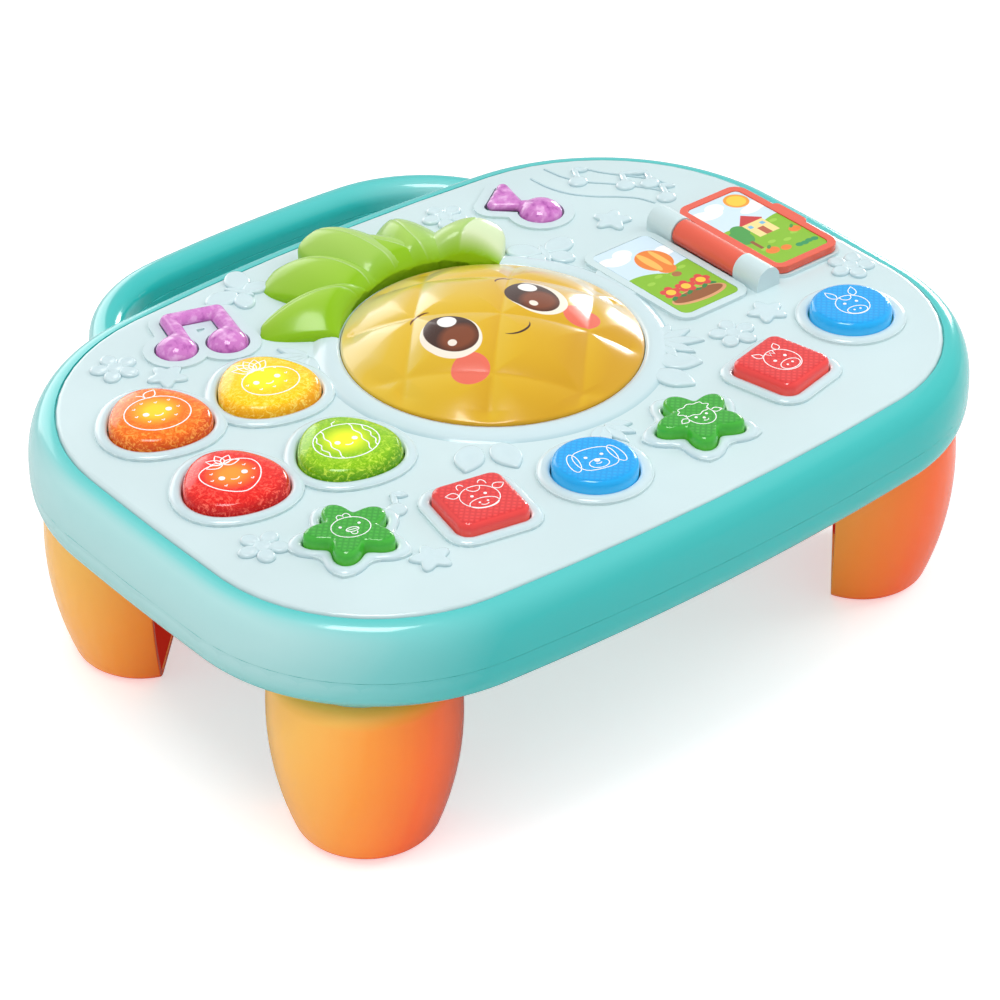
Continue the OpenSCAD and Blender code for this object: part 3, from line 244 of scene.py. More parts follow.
def swept_ring(name, section):
    """Carries a closed section of (distance outside the panel, height) all round the panel."""
    arcs = outline_arcs()
    centre, radius, start, end = arcs[0]
    piece = closed_wire(name, [(*(centre + unit(start) * (radius + e)), z) for e, z in section])
    open_mesh()
    for centre, radius, start, end in arcs:
        step = 3.4 * MM if radius < 200 * MM else 9 * MM
        spin_on(end - start, centre, max(6, round(radians(end - start) * radius / step)))
    close_skin()
    return piece


def bull_nose(width, height, sharpness, steps):
    """Quarter of a rounded square from straight above to straight out."""
    return [
        (width * max(cos(a), 0) ** (2 / sharpness), height * max(sin(a), 0) ** (2 / sharpness))
        for a in [radians(90 - 90 * i / steps) for i in range(steps + 1)]
    ]


def colour_ramp(tree, value, stops):
    """Colours along a value from 0 to 1."""
    ramp = add_node(tree, "ValToRGB", {"Fac": value})
    band = ramp.color_ramp
    while len(band.elements) < len(stops):
        band.elements.new(0.5)
    for element, (at, colour) in zip(band.elements, stops):
        element.position = at
        element.color = colour
    return ramp.outputs["Color"]


def plastic(name, colour, rough=0.2, coat=0.25, grain=0.03, cloud=0.03, gloss=0.3):
    """Coloured moulding with a faint cloudiness in its colour and a fine skin on its gloss."""
    made = bpy.data.materials.new(name)
    made.use_nodes = True
    tree = made.node_tree
    place = add_node(tree, "TexCoord", name="place").outputs["Object"]
    clouds = add_node(tree, "TexNoise", {"Vector": place, "Scale": 14, "Detail": 3})
    tones = [tuple(min(1, v * (1 + c)) for v in colour[:3]) + (1,) for c in (-cloud, cloud)]
    skin = add_node(tree, "TexNoise", {"Vector": place, "Scale": 900, "Detail": 2})
    grains = {"Strength": grain, "Distance": 0.0004, "Height": skin.outputs["Fac"]}
    feed(tree, tree.nodes["Principled BSDF"], {
        "Roughness": rough,
        "Specular IOR Level": gloss,
        "Coat Weight": coat,
        "Coat Roughness": 0.07,
        "Base Color": colour_ramp(tree, clouds.outputs["Fac"], [(0.3, tones[0]), (0.7, tones[1])]),
        "Normal": add_node(tree, "Bump", grains).outputs["Normal"],
    })
    return made


def finish_piece(piece, material, body, smooth=40):
    """Paints a finished piece, smooths it and hangs it on its body."""
    piece.data.materials.clear()
    piece.data.materials.append(material)
    select_only(piece)
    bpy.ops.object.shade_smooth_by_angle(angle=radians(smooth))
    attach(piece, body)


def scaled(tree, value, times, plus):
    """The value times one number plus another, held between 0 and 1."""
    return sum_up(tree, "MULTIPLY_ADD", value, times, plus, clamp=True)


def colour_so_far(tree):
    """What colours the shader at this point."""
    return tree.nodes["Principled BSDF"].inputs["Base Color"].links[0].from_socket


def paint_over(tree, mask, colour):
    """Lays a colour over what the shader has, where the mask is 1."""
    coat = add_node(tree, "Mix", {0: mask, 6: colour_so_far(tree), 7: colour}, data_type="RGBA")
    feed(tree, tree.nodes["Principled BSDF"], {"Base Color": coat.outputs[2]})


def toward(tree, way, low, high):
    """0 to 1 as the faces turn towards a direction: their normal's share along it, low to high."""
    normal = tree.nodes["place"].outputs["Normal"]
    way = Vector(way).normalized()
    share = add_node(tree, "VectorMath", {0: normal, 1: way}, operation="DOT_PRODUCT")
    return scaled(tree, share.outputs["Value"], 1 / (high - low), low / (low - high))


def shade_by_facing(made, way, low, high, share, *stops):
    """Paints light and shade into a plastic: tones that follow how far its faces turn towards a direction."""
    tree = made.node_tree
    tones = [(at, srgb(*tone)) for at, tone in stops]
    paint_over(tree, share, colour_ramp(tree, toward(tree, way, low, high), tones))


def painted_glow(made, strength):
    """Makes a plastic glow a little in its own colour, though it is no lamp: painted light."""
    tree = made.node_tree
    glow = {"Emission Color": colour_so_far(tree), "Emission Strength": strength}
    feed(tree, tree.nodes["Principled BSDF"], glow)


teal = plastic("teal_gloss", srgb(96, 200, 197), 0.16, 0.25)
# Painted light and shade: the teal is paler on faces turned up and to the left and deeper on faces turned
# away.
shade_by_facing(
    teal, (-0.9, -0.1, 0.34), -0.15, 0.95, 0.92,
    (0.0, (30, 182, 178)), (0.4, (56, 186, 183)), (0.75, (126, 209, 207)), (1.0, (184, 227, 226)),
)
# Painted glow: the teal shines a little in its own colour, though it is no lamp.
painted_glow(teal, 0.1)

nose = bull_nose(frame_out - panel_gap, frame_z - seam_z - seam_gap, nose_shape, 22)
nose = [(panel_gap + e, seam_z + seam_gap + z) for e, z in nose]
hollow = bull_nose(frame_out - panel_gap - shell_wall, frame_z - seam_z - nose_roof, nose_shape, 10)
hollow = [(panel_gap + e, seam_z + z) for e, z in reversed(hollow)]
lip = [(-lip_reach, lip_top - lip_wall), (-lip_reach, lip_top)]
frame_ring = swept_ring(
    "frame_ring", [(panel_gap, lip_top), *nose, (frame_out - seam_break, seam_z), *hollow, *lip]
)
finish_piece(frame_ring, teal, "table")
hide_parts("rim_frame")

# ---- The skin of the base ----
# The base is the same teal plastic. Its wall drops straight from the seam and curls under to
# the flat floor, one smooth moulded face all round.

skin_wall, skin_floor, seam_wall = 1 * MM, 0.6 * MM, 1.4 * MM
curl_shape = 3.0
curl = bull_nose(frame_out, seam_z - base_z, curl_shape, 18)
curl = [(e, seam_z - z) for e, z in reversed(curl)]
curl[0] = (frame_out - seam_break, seam_z)
inner_curl = [(max(e - skin_wall, 0), z + skin_floor) for e, z in reversed(curl[1:-1])]
base_skin = swept_ring(
    "base_skin", [*curl, (0, base_z + skin_wall), *inner_curl, (frame_out - seam_wall, seam_z)]
)
finish_piece(base_skin, teal, "table")

# ---- The carry handle ----
# A hollow grip of upright slot section, moulded in one with the frame and the base and bowed
# round to the back. The seam runs on round it.

grip_half = 115 * MM
grip_reach = 189 * MM
grip_bow = 750 * MM
grip_round = 66 * MM
grip_width = 15.95 * MM
grip_top = 116.35 * MM
grip_root = 16 * MM
grip_groove = 0.35 * MM
corner_x = grip_half - grip_round
corner_y = grip_reach - grip_bow + sqrt((grip_bow - grip_round) ** 2 - corner_x**2)
bow_start = degrees(atan2(corner_y - grip_reach + grip_bow, corner_x))


def grip_section(steps):
    """Slot-shaped section with round ends, grooved on both sides at the seam's level."""
    r = grip_width / 2
    arch = [Vector((0, grip_top - r)) + r * unit(180 - 180 * i / steps) for i in range(steps + 1)]
    trough = [Vector((0, base_z + r)) + r * unit(-180 * i / steps) for i in range(steps + 1)]
    groove = [(r, grip_groove), (r - grip_groove, 0), (r, -grip_groove)]
    right = [(e, seam_z + z) for e, z in groove]
    left = [(-e, seam_z - z) for e, z in groove]
    return [*arch, *right, *trough, *left]


root_y = corner_y - grip_root + TABLE_Y
handle = closed_wire("carry_handle", [(grip_half + e, root_y, z) for e, z in grip_section(16)])
open_mesh()
bpy.ops.mesh.extrude_region_move(TRANSFORM_OT_translate={"value": (0, grip_root, 0)})
spin_on(bow_start, Vector((corner_x, corner_y + TABLE_Y)), 18)
spin_on(180 - 2 * bow_start, Vector((0, grip_reach - grip_bow + TABLE_Y)), 28)
spin_on(bow_start, Vector((-corner_x, corner_y + TABLE_Y)), 18)
bpy.ops.mesh.extrude_region_move(TRANSFORM_OT_translate={"value": (0, -grip_root, 0)})
close_skin()
finish_piece(handle, teal, "table")

# ---- Parts that keep the shape of their mould ----
# The legs and the base are hollow mouldings with softly broken edges. Each is taken from its
# solid, welded, and its sharp edges are rounded.


def spot(x, y, z=128.0):
    """Place on the table from the middle of the panel, in millimetres."""
    return Vector((x * MM, y * MM + TABLE_Y, z * MM))


def apply_modifier(piece, kind, **settings):
    """Finishes a piece with a modifier, applied at once."""
    step = piece.modifiers.new(kind.lower(), kind)
    for name, value in settings.items():
        setattr(step, name, value)
    bpy.context.view_layer.objects.active = piece
    bpy.ops.object.modifier_apply(modifier=step.name)


def moulding(node, material, edge, body="table", steps=2):
    """Copy of a part's solid with its flat faces joined and its sharp edges rounded (mm)."""
    piece = bpy.data.objects.new(node + "_moulding", frame["nodes"][node].data.copy())
    bpy.context.scene.collection.objects.link(piece)
    select_only(piece)
    open_mesh()
    bpy.ops.mesh.remove_doubles(threshold=weld)
    bpy.ops.mesh.customdata_custom_splitnormals_clear()
    bpy.ops.mesh.dissolve_limited(angle_limit=radians(1))
    bpy.ops.object.mode_set(mode="OBJECT")
    if edge:
        sharp = {"limit_method": "ANGLE", "angle_limit": radians(32)}
        apply_modifier(piece, "BEVEL", width=edge * MM, segments=steps, **sharp)
    finish_piece(piece, material, body)
    apply_modifier(piece, "WEIGHTED_NORMAL", keep_sharp=True)
    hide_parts(node)
    return piece


def raised(tree, low, high, axis="Z"):
    """0 at one height above the floor, or place along another axis, and 1 at the next (mm)."""
    parts = add_node(tree, "SeparateXYZ", {0: tree.nodes["place"].outputs["Object"]})
    return scaled(tree, parts.outputs[axis], 1000 / (high - low), low / (low - high))


# The middle of each leg lies this far from the panel's, to each side and to front and back (mm).
LEG_X, LEG_Y = 144, 81
# Painted shade: the legs' inner faces, which lie in the table's shadow, take a darker red, with a painted
# glow.
shaded_inside = plastic("orange_inside_shade", srgb(206, 48, 30), 0.4, 0, gloss=0.1)
painted_glow(shaded_inside, 0.3)
orange = plastic("orange_gloss", srgb(246, 150, 70), 0.2, 0.2)
# Painted light and shade: the orange is paler on faces turned up and to the left and deeper red on faces
# turned away.
shade_by_facing(
    orange, (-0.8, 0.12, 0.6), -0.8, 0.8, 0.95,
    (0.0, (206, 44, 12)), (0.4, (248, 98, 22)), (0.75, (255, 154, 52)), (1.0, (255, 192, 88)),
)
# Painted shade: the legs are painted a deeper orange towards the right.
shade_to_right = sum_up(orange.node_tree, "MULTIPLY", raised(orange.node_tree, 40, 150, "X"), 0.5)
paint_over(orange.node_tree, shade_to_right, srgb(238, 92, 34))
# Painted glow: the orange shines a little in its own colour, though it is no lamp.
painted_glow(orange, 0.2)
moulding("base_shell", teal, 0.2)
for leg in ("leg_front_left", "leg_front_right", "leg_back_left", "leg_back_right"):
    shell = moulding(leg, orange, 0.5, steps=3)
    shell.data.materials.append(shaded_inside)
    axis = spot(LEG_X * (1 if "right" in leg else -1), LEG_Y * (1 if "back" in leg else -1))
    # Faces turned in towards a leg's axis take the painted-shade red.
    for face in shell.data.polygons:
        if face.normal.xy.dot(face.center.xy - axis.xy) < 0:
            face.material_index = 1

# ---- The play panel ----
# Pale ice-blue satin moulding that drops into the frame. Its keys stand in soft raised collars,
# and flowers, stars, butterflies and leaves are embossed between them.

ice = plastic("ice_satin", srgb(208, 228, 230), 0.24, 0.2)
moulding("top_panel", ice, 0.5, steps=3)
relief = plastic("ice_relief", srgb(206, 227, 231), 0.16, 0.3)
relief_tree = relief.node_tree
# Painted shade at the foot of every boss, where it meets the panel, and a painted highlight on faces turned
# up, back and to the left.
foot = sum_up(relief_tree, "SUBTRACT", 1.0, raised(relief_tree, 127.9, 129.2), clamp=True)
paint_over(relief_tree, foot, srgb(176, 207, 214))
paint_over(relief_tree, toward(relief_tree, (-0.5, 0.6, 0.6), 0.75, 1.0), srgb(232, 243, 246))


def stacked(name, loops, fill=True):
    """Skin through closed loops of equal count; the last one is filled."""
    piece = closed_wire(name, loops[0])
    open_mesh()
    for old, new in zip(loops, loops[1:]):
        bpy.ops.mesh.extrude_region_move()
        bpy.ops.object.mode_set(mode="OBJECT")
        moves = {tuple(Vector(p)): q for p, q in zip(old, new)}
        for corner in piece.data.vertices:
            if corner.select:
                corner.co = moves[tuple(corner.co)]
        bpy.ops.object.mode_set(mode="EDIT")
    if fill:
        bpy.ops.mesh.edge_face_add()
    close_skin()
    return piece


emboss_low, emboss_high, emboss_soft = 127.7 * MM, 129.6 * MM, 1.3 * MM


def pad(name, points, dip=0.25):
    """Cushion-shaped boss on the panel: its edge rounds over and its middle dips (mm)."""
    centre = sum(points, Vector((0, 0))) / len(points)
    size = max((p - centre).length for p in points)

    def shrunk(share, z):
        return [(*(centre + (p - centre) * share), z) for p in points]

    loops = [shrunk(1, emboss_low)]
    for a in (0, pi / 6, pi / 3, pi / 2):
        e = emboss_soft * (1 - cos(a))
        loops.append(shrunk(1 - e / size, emboss_high - emboss_soft * (1 - sin(a))))
    loops += [shrunk(share, emboss_high - dip * MM * (1 - share)) for share in (0.55, 0.2)]
    return stacked(name, loops)


def joined(name, pieces):
    """One piece from several."""
    select_only(*pieces)
    if len(pieces) > 1:
        bpy.ops.object.join()
    pieces[0].name = name
    return pieces[0]


def emboss(name, pieces):
    """The bosses of one motif as a piece of the panel's plastic."""
    finish_piece(joined(name, pieces), relief, "table", 60)


def oval_points(x, y, a, b, turn, point):
    """Ellipse, or with point > 0 a leaf that narrows to a tip at its far end (mm)."""
    along, across = unit(turn), unit(turn + 90)
    ring = []
    for i in range(28):
        p = unit(360 * i / 28)
        width = b * (1 - point * max(p.x, 0) ** 2)
        ring.append(spot(x, y).xy + along * p.x * a * MM + across * p.y * width * MM)
    return ring


def boss(name, x, y, a, b, turn, point=0.0, dip=0.4):
    """One embossed oval or leaf of the panel's decoration."""
    return pad(name, oval_points(x, y, a, b, turn, point), dip)


# Place of each motif from the panel's middle (mm), and how it is turned (degrees).
FLOWERS = [(-133, 107, 8), (-165, -43, 30), (61, 118, 20), (94, -44, 0), (175, -35, 40)]
STARS = [(-119.5, 87, 20), (-117.5, -93, 75), (119, 66, 40), (118, -40, 10)]
BUTTERFLIES = [(-53, 124.5, 30), (75, 62.5, -20)]
WINGS = [(9.6, 30, 8.6, 6.0), (8.0, -40, 6.6, 4.8)]
for number, (x, y, turn) in enumerate(FLOWERS, 1):
    ways = [turn + 72 * k for k in range(5)]
    petals = [boss("petal", *(Vector((x, y)) + 6.8 * unit(way)), 4.5, 3.9, way) for way in ways]
    middle = boss("flower_middle", x, y, 4.2, 4.2, 0)
    emboss(f"embossed_flower_{number}", petals + [middle])

for number, (x, y, turn) in enumerate(STARS, 1):
    ring = []
    for i in range(50):
        reach = 7.6 * (1 + 0.24 * cos(radians(36 * i)))
        ring.append(spot(x, y).xy + unit(turn + 7.2 * i) * reach * MM)
    emboss(f"embossed_star_{number}", [pad("star", ring)])

for number, (x, y, turn) in enumerate(BUTTERFLIES, 1):
    wings = []
    for side in (-1, 1):
        for reach, spread, length, width in WINGS:
            way = turn + 90 - side * (90 - spread)
            middle = Vector((x, y)) + reach * unit(way)
            wings.append(boss("wing", *middle, length, width, way + 180, 0.45))
    body = boss("butterfly_body", x, y, 7.4, 1.9, turn + 90)
    emboss(f"embossed_butterfly_{number}", wings + [body])

# Each spray: place, the way it points, how its blades spread (degrees), their length and width.
SPRAYS = [
    (-62, 60, 178, (-62, -36, -12, 12, 36, 62), 11.5, 2.8),
    (63, -28, -35, (-62, -31, 0, 31, 62), 11.0, 3.0),
    (-0.1, -63.5, -90, (-60, -30, 0, 30, 60), 9.0, 2.6),
    (77.5, 21, 4, (-44, 0, 44), 13.5, 6.4),
]
for number, (x, y, way, spreads, length, width) in enumerate(SPRAYS, 1):
    blades = []
    for spread in spreads:
        half = length * (1 - 0.004 * abs(spread))
        middle = Vector((x, y)) + half * unit(way + spread)
        blades.append(boss("blade", *middle, half * 0.92, width, way + spread, 0.7, 0.2))
    emboss(f"embossed_spray_{number}", blades)

SINGLE_LEAVES = [(-60, -47, 222), (-46, -55, 258), (49, -55, 290), (60, -46, 318)]
for number, (x, y, way) in enumerate(SINGLE_LEAVES, 1):
    emboss(f"embossed_leaf_{number}", [boss("leaf", x, y, 10.2, 6.6, way, 0.6, 0.6)])

# Stave of raised lines behind the book, with plump notes on it and one more on the left.
STAVE = [
    [(116, 121), (117, 109), (121, 98), (128, 89), (137, 81), (143, 74), (146, 66)],
    [(127, 124), (129, 112), (134, 102), (143, 92), (152, 80), (158, 69)],
    [(141, 114), (146, 104), (153, 94), (160, 84), (163, 74)],
]


def smooth_path(points, steps=6, closed=False):
    """Points of a smooth line through the given ones."""
    pts = [Vector(p) for p in points]
    if closed:
        pts = [pts[-1]] + pts + pts[:2]
    else:
        pts = [2 * pts[0] - pts[1]] + pts + [2 * pts[-1] - pts[-2]]
    line = []
    for a, b, c, d in zip(pts, pts[1:], pts[2:], pts[3:]):
        for i in range(steps):
            t = i / steps
            bend = 2 * b + (c - a) * t + (2 * a - 5 * b + 4 * c - d) * t**2
            line.append((bend + (3 * b - a - 3 * c + d) * t**3) / 2)
    if not closed:
        line.append(pts[-2])
    return line


def bead(name, points, width, closed=False):
    """Round bead of plastic along a line of places."""
    piece = closed_wire(name, points)
    if not closed:
        bpy.ops.object.mode_set(mode="EDIT")
        bpy.ops.mesh.select_mode(type="EDGE")
        bpy.ops.mesh.select_all(action="DESELECT")
        bpy.ops.object.mode_set(mode="OBJECT")
        for edge in piece.data.edges:
            edge.select = set(edge.vertices) == {0, len(points) - 1}
        bpy.ops.object.mode_set(mode="EDIT")
        bpy.ops.mesh.delete(type="EDGE_FACE")
        bpy.ops.mesh.select_mode(type="VERT")
        bpy.ops.object.mode_set(mode="OBJECT")
    bpy.ops.object.convert(target="CURVE")
    piece.data.bevel_depth = width / 2
    piece.data.bevel_resolution = 1
    piece.data.use_fill_caps = True
    bpy.ops.object.convert(target="MESH")
    return bpy.context.object


lines = [bead("stave_line", [spot(*p) for p in smooth_path(line)], 1.3 * MM) for line in STAVE]
emboss("embossed_stave", lines)

# The bosses of a note: place from its head, half sizes, turn, and where they matter point and dip.
FIRST = [("head", 0, 0, 4.9, 4.4, 0, 0.0, -0.5), ("stem", 3.5, 5.5, 6, 1.5, 62)]
SECOND = [("head", 10, -6, 4.9, 4.4, 0, 0.0, -0.5), ("stem", 13.5, -1, 6, 1.5, 62)]
QUAVER = FIRST + [("flag", 7.6, 8, 4, 2, -40, 0.4)]
QUAVER_PAIR = FIRST + SECOND + [("beam", 11, 6, 6.6, 1.9, -32)]
NOTES = [(131, 104, QUAVER), (146, 87, QUAVER_PAIR), (153, 66, QUAVER), (-107, -57, QUAVER)]
for number, (x, y, shapes) in enumerate(NOTES, 1):
    parts = [boss(name, x + dx, y + dy, *shape) for name, dx, dy, *shape in shapes]
    emboss(f"embossed_note_{number}", parts)

# ---- The keys' collars ----
# Soft round beads stand round every hole, moulded in one with the panel in its own plastic. Each
# follows the outline of its key, a little clear of it.


key_half, key_corner = 17, 6
star_reach, circle_reach, petal_reach = 17.4, 19.5, 23


def petal_edge(a):
    """Reach of a fruit button from its middle at an angle (mm)."""
    return petal_reach * (1 + 0.035 * cos(radians(a)) + 0.05 * cos(radians(3 * a)))


def star_edge(a):
    """Reach of a star key from its middle at an angle (mm)."""
    return star_reach * (1 + 0.215 * cos(radians(5 * a)) - 0.012 * cos(radians(10 * a)))


def circle_edge(a):
    """Reach of a round key from its middle, the same all round (mm)."""
    return circle_reach


KEY_EDGES = {"petal": (petal_edge, 96), "star": (star_edge, 120), "circle": (circle_edge, 96)}


def key_outline(kind, x, y, turn, grow):
    """Outline of a key, grown by a distance (mm)."""
    middle = spot(x, y).xy
    if kind == "square":
        half = key_half - key_corner
        ring = []
        for sx, sy, start in [(1, 1, 0), (-1, 1, 90), (-1, -1, 180), (1, -1, 270)]:
            for i in range(13):
                p = (Vector((sx * half, sy * half)) + (key_corner + grow) * unit(start + 7.5 * i)) * MM
                ring.append(middle + p.x * unit(turn) + p.y * unit(turn + 90))
        return ring
    edge, count = KEY_EDGES[kind]
    ways = [360 * i / count for i in range(count)]
    return [middle + (edge(a) + grow) * MM * unit(turn + a) for a in ways]


def level(points, z):
    """A flat outline at a height (mm)."""
    return [(*p, z * MM) for p in points]


# Kind of each key, its place from the panel's middle (mm) and how it is turned (degrees).
KEYS = {
    "button_orange": ("petal", -145, 59, -42),
    "button_pineapple": ("petal", -94, 50, -42),
    "button_strawberry": ("petal", -149, -0.5, -42),
    "button_melon": ("petal", -97, -10.5, -42),
    "key_star_left": ("star", -134.3, -61.6, 82),
    "key_square_left": ("square", -80.4, -79.2, -12),
    "key_circle_left": ("circle", -25.2, -87.6, 0),
    "key_star_right": ("star", 31, -90, 94),
    "key_square_right": ("square", 88.3, -80.5, 12),
    "key_circle_right": ("circle", 144.4, -66.3, 0),
}
# How far each kind of key stands in from its hole; the collar follows it on the inside (mm).
KEY_INSET = {"petal": 0.7, "star": 1.3, "square": 0.6, "circle": 1.1}
# Section of a collar: distance outside the hole and height (mm).
collar_shape = [
    (0.42, 127.6), (0.5, 129.2), (0.9, 129.9), (1.6, 130.25), (2.5, 130.35),
    (3.3, 130.2), (4.1, 129.9), (4.8, 129.4), (5.2, 128.8), (5.4, 127.8),
]
for node, (kind, x, y, turn) in KEYS.items():
    loops = []
    for e, z in collar_shape:
        grow = e - KEY_INSET[kind] * max(0, 1 - e / 3)
        loops.append(level(key_outline(kind, x, y, turn, grow), z))
    collar = stacked(node + "_collar", loops + [loops[0]], fill=False)
    finish_piece(collar, relief, "table", 80)

# ---- The fruit buttons ----
# Four pebble-shaped lenses of clear coloured plastic with glitter in it. A lamp behind the
# middle of each has its glow painted into the lens, and the outline of a fruit is printed on it in white.


def local_place(tree, x, y, a, b, turn=0):
    """Coordinates centred on a place, one unit to the given half width and half height (mm)."""
    at = spot(x, y)
    return add_node(tree, "Mapping", {
        "Location": (at.x, at.y, 0),
        "Rotation": (0, 0, radians(turn)),
        "Scale": (a * MM, b * MM, 1000),
        "Vector": tree.nodes["place"].outputs["Object"],
    }, vector_type="TEXTURE").outputs["Vector"]


def distance_from(tree, x, y, a, b, turn=0):
    """0 in the middle of an ellipse and 1 on its edge."""
    inside = local_place(tree, x, y, a, b, turn)
    return add_node(tree, "VectorMath", {0: inside}, operation="LENGTH").outputs["Value"]


def oval_mask(tree, x, y, a, b, turn, soft):
    """1 inside an ellipse and 0 outside, with an edge a fraction of a millimetre wide (mm)."""
    sharp = min(a, b) / soft
    return scaled(tree, distance_from(tree, x, y, a, b, turn), -sharp, sharp + 0.5)


def glitter_lens(name, x, y, size, glow, body, edge, spark):
    """Clear coloured plastic with a lamp's glow painted into its middle, and glitter swirled under its
    surface.
    """
    made = plastic(name, body, 0.1, 0.25, gloss=0.2)
    tree = made.node_tree
    shader = tree.nodes["Principled BSDF"]
    reach = distance_from(tree, x, y, size, size * 0.92)
    # The brighter middle is the lamp's glow painted into the colour.
    bands = [(0.0, glow), (0.18, glow), (0.52, body), (0.84, body), (1.0, edge)]
    feed(tree, shader, {"Base Color": colour_ramp(tree, reach, bands)})
    place = tree.nodes["place"].outputs["Object"]
    grains = {"Vector": place, "Scale": 330, "Detail": 9, "Roughness": 0.72, "Distortion": 1.8}
    swirl = add_node(tree, "TexNoise", grains).outputs["Fac"]
    outer = scaled(tree, reach, 2.2, -0.75)
    for times, plus, share, tone in ((9, -4.55, 0.75, spark), (-9, 4.35, 0.6, edge)):
        specks = sum_up(tree, "MULTIPLY", scaled(tree, swirl, times, plus), outer)
        paint_over(tree, sum_up(tree, "MULTIPLY", specks, share), tone)
    # Painted glow: emission in the lens's own colour, strongest in the middle, stands for the lamp behind.
    lamp_glow = sum_up(tree, "ADD", scaled(tree, reach, -0.5, 0.2), 0.16)
    feed(tree, shader, {"Emission Color": colour_so_far(tree), "Emission Strength": lamp_glow})
    feed(tree, tree.nodes["Bump"], {"Strength": 0.12, "Height": swirl})
    return made


cap_foot = 124
pebble_half, pebble_top, pebble_fall = 20, 135.7, 1.1
flat_top = 135.05


def key_top(node, x, y):
    """Height of a key over a place on it: domed on a fruit button, flat on the others (mm)."""
    kind, cx, cy, turn = KEYS[node]
    if kind != "petal":
        return flat_top
    away = (Vector((x, y)) - spot(cx, cy).xy).length / MM
    return pebble_top - pebble_fall * (away / pebble_half) ** 3.4


# Rounded brow of a fruit button: distance in from its side and height (mm).
brow = [(0.0, 130.4), (0.2, 131.5), (0.7, 132.6), (1.5, 133.5), (2.6, 134.15), (3.8, 134.5)]
lens_size = 24
# Colour of each button over the lamp, of its body, of its edge and of its glitter; its slot.
FRUITS = {
    "button_orange": ((255, 196, 36), (240, 112, 14), (206, 70, 6), (255, 184, 84), "fruit_orange"),
    "button_pineapple": ((255, 236, 30), (250, 200, 0), (228, 152, 0), (255, 238, 120), "fruit_yellow"),
    "button_strawberry": ((250, 140, 40), (228, 28, 20), (188, 8, 12), (255, 112, 92), "fruit_red"),
    "button_melon": ((226, 236, 30), (136, 192, 4), (86, 152, 4), (212, 234, 76), "fruit_green"),
}
for node, (*colours, slot) in FRUITS.items():
    kind, x, y, turn = KEYS[node]
    inset = KEY_INSET[kind]
    loops = [level(key_outline(kind, x, y, turn, -inset), cap_foot)]
    loops += [level(key_outline(kind, x, y, turn, -(e + inset)), z) for e, z in brow]
    for e in (6, 8, 10.5, 13, 16, 18.5, 20.4):
        ring = key_outline(kind, x, y, turn, -e)
        sink = 0.05 if e == 6 else 0
        loops.append([(*p, (key_top(node, *p) - sink) * MM) for p in ring])
    lens = stacked(node + "_lens", loops)
    colours = [srgb(*c) for c in colours]
    glitter = glitter_lens(node + "_glitter", x, y, lens_size, *colours)
    finish_piece(lens, glitter, node + "_cap", 70)
    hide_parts(node)

white_ink = plastic("white_ink", srgb(255, 255, 255), 0.5, 0.0)
ink_rise, ink_sink = 0.16, 0.6


def placed(points, x, y, way, size=1):
    """Points of a drawing, turned, sized and moved to a place."""
    c, s = unit(way) * size
    return [(x + p * c - q * s, y + p * s + q * c) for p, q in points]


def stroke(*points):
    """Open line of a drawing."""
    return False, points


def arc(x, y, a, b, start=0, end=360, turn=0):
    """Line along an ellipse, closed if it goes all the way round."""
    span = end - start
    number = max(6, round(28 * span / 360))
    closed = span == 360
    ways = [radians(start + span * i / number) for i in range(number if closed else number + 1)]
    return closed, placed([(a * cos(w), b * sin(w)) for w in ways], x, y, turn)


def smile(x, y, r):
    """A small upturned line."""
    return arc(x, y, r, r * 0.8, 205, 335)


def leaf_line(x, y, length, width, way):
    """Pointed leaf outline that starts at a place and runs one way."""
    half = [(length * t / 8, width * sin(pi * (t / 8) ** 0.8)) for t in range(9)]
    around = half + [(p, -q) for p, q in reversed(half[1:-1])]
    return True, placed(around, x, y, way)


def ticks(places):
    """Small V marks."""
    return [stroke((x - 0.5, y + 0.4), (x, y - 0.3), (x + 0.6, y + 0.4)) for x, y in places]


def drawing(node, turn, dots, *strokes):
    """Printed white line drawing on a key: open and closed lines and round dots (mm)."""
    kind, cx, cy = KEYS[node][:3]
    size, width = (1.16, 0.85) if kind == "petal" else (1.15, 0.6)
    pieces = []
    for closed, points in strokes:
        line = [spot(*p).xy for p in placed(points, cx, cy, turn, size)]
        line = [(*p, (key_top(node, *p) + ink_rise - width / 2) * MM) for p in line]
        pieces.append(bead("line", line, width * MM, closed))
    for x, y, r in dots:
        at = spot(*placed([(x, y)], cx, cy, turn, size)[0]).xy
        ring = [at + r * size * MM * unit(22.5 * i) for i in range(16)]
        top = key_top(node, *at)
        pieces.append(stacked("dot", [level(ring, top - ink_sink), level(ring, top + ink_rise)]))
    picture = joined(node + "_drawing", pieces)
    finish_piece(picture, white_ink, node + "_cap", 70)


SPECKLE = [(-7, 4), (-3, 6.5), (2, 5), (7, 4.5), (-8, -1), (8.5, -1), (-5, -6), (0, -7), (5.5, -6)]
EYES = [(-4.4, -1.2, 1.2), (4.6, -1.2, 1.2)]
drawing(
    "button_orange", -12, EYES,
    arc(0, -1.5, 12.5, 11), smile(0.1, -2.2, 1.8), leaf_line(0, 9.4, 7, 2.1, 42),
    stroke((0, 9.4), (-0.7, 11.4), (-2.6, 12.6)), *ticks(SPECKLE),
)
drawing(
    "button_pineapple", -6, EYES,
    arc(1, -2.5, 11.2, 9.2), smile(0.1, -2.8, 1.7),
    *[leaf_line(-0.5, 6.4, 8.6, 2.2, way) for way in (34, 62, 90, 118, 146)], *ticks(SPECKLE),
)
left_side = [(-7, -8), (-11, -1), (-10.5, 5), (-5.5, 8)]
berry = [(0, -12), *left_side, (0, 7), *[(-x, y) for x, y in reversed(left_side)]]
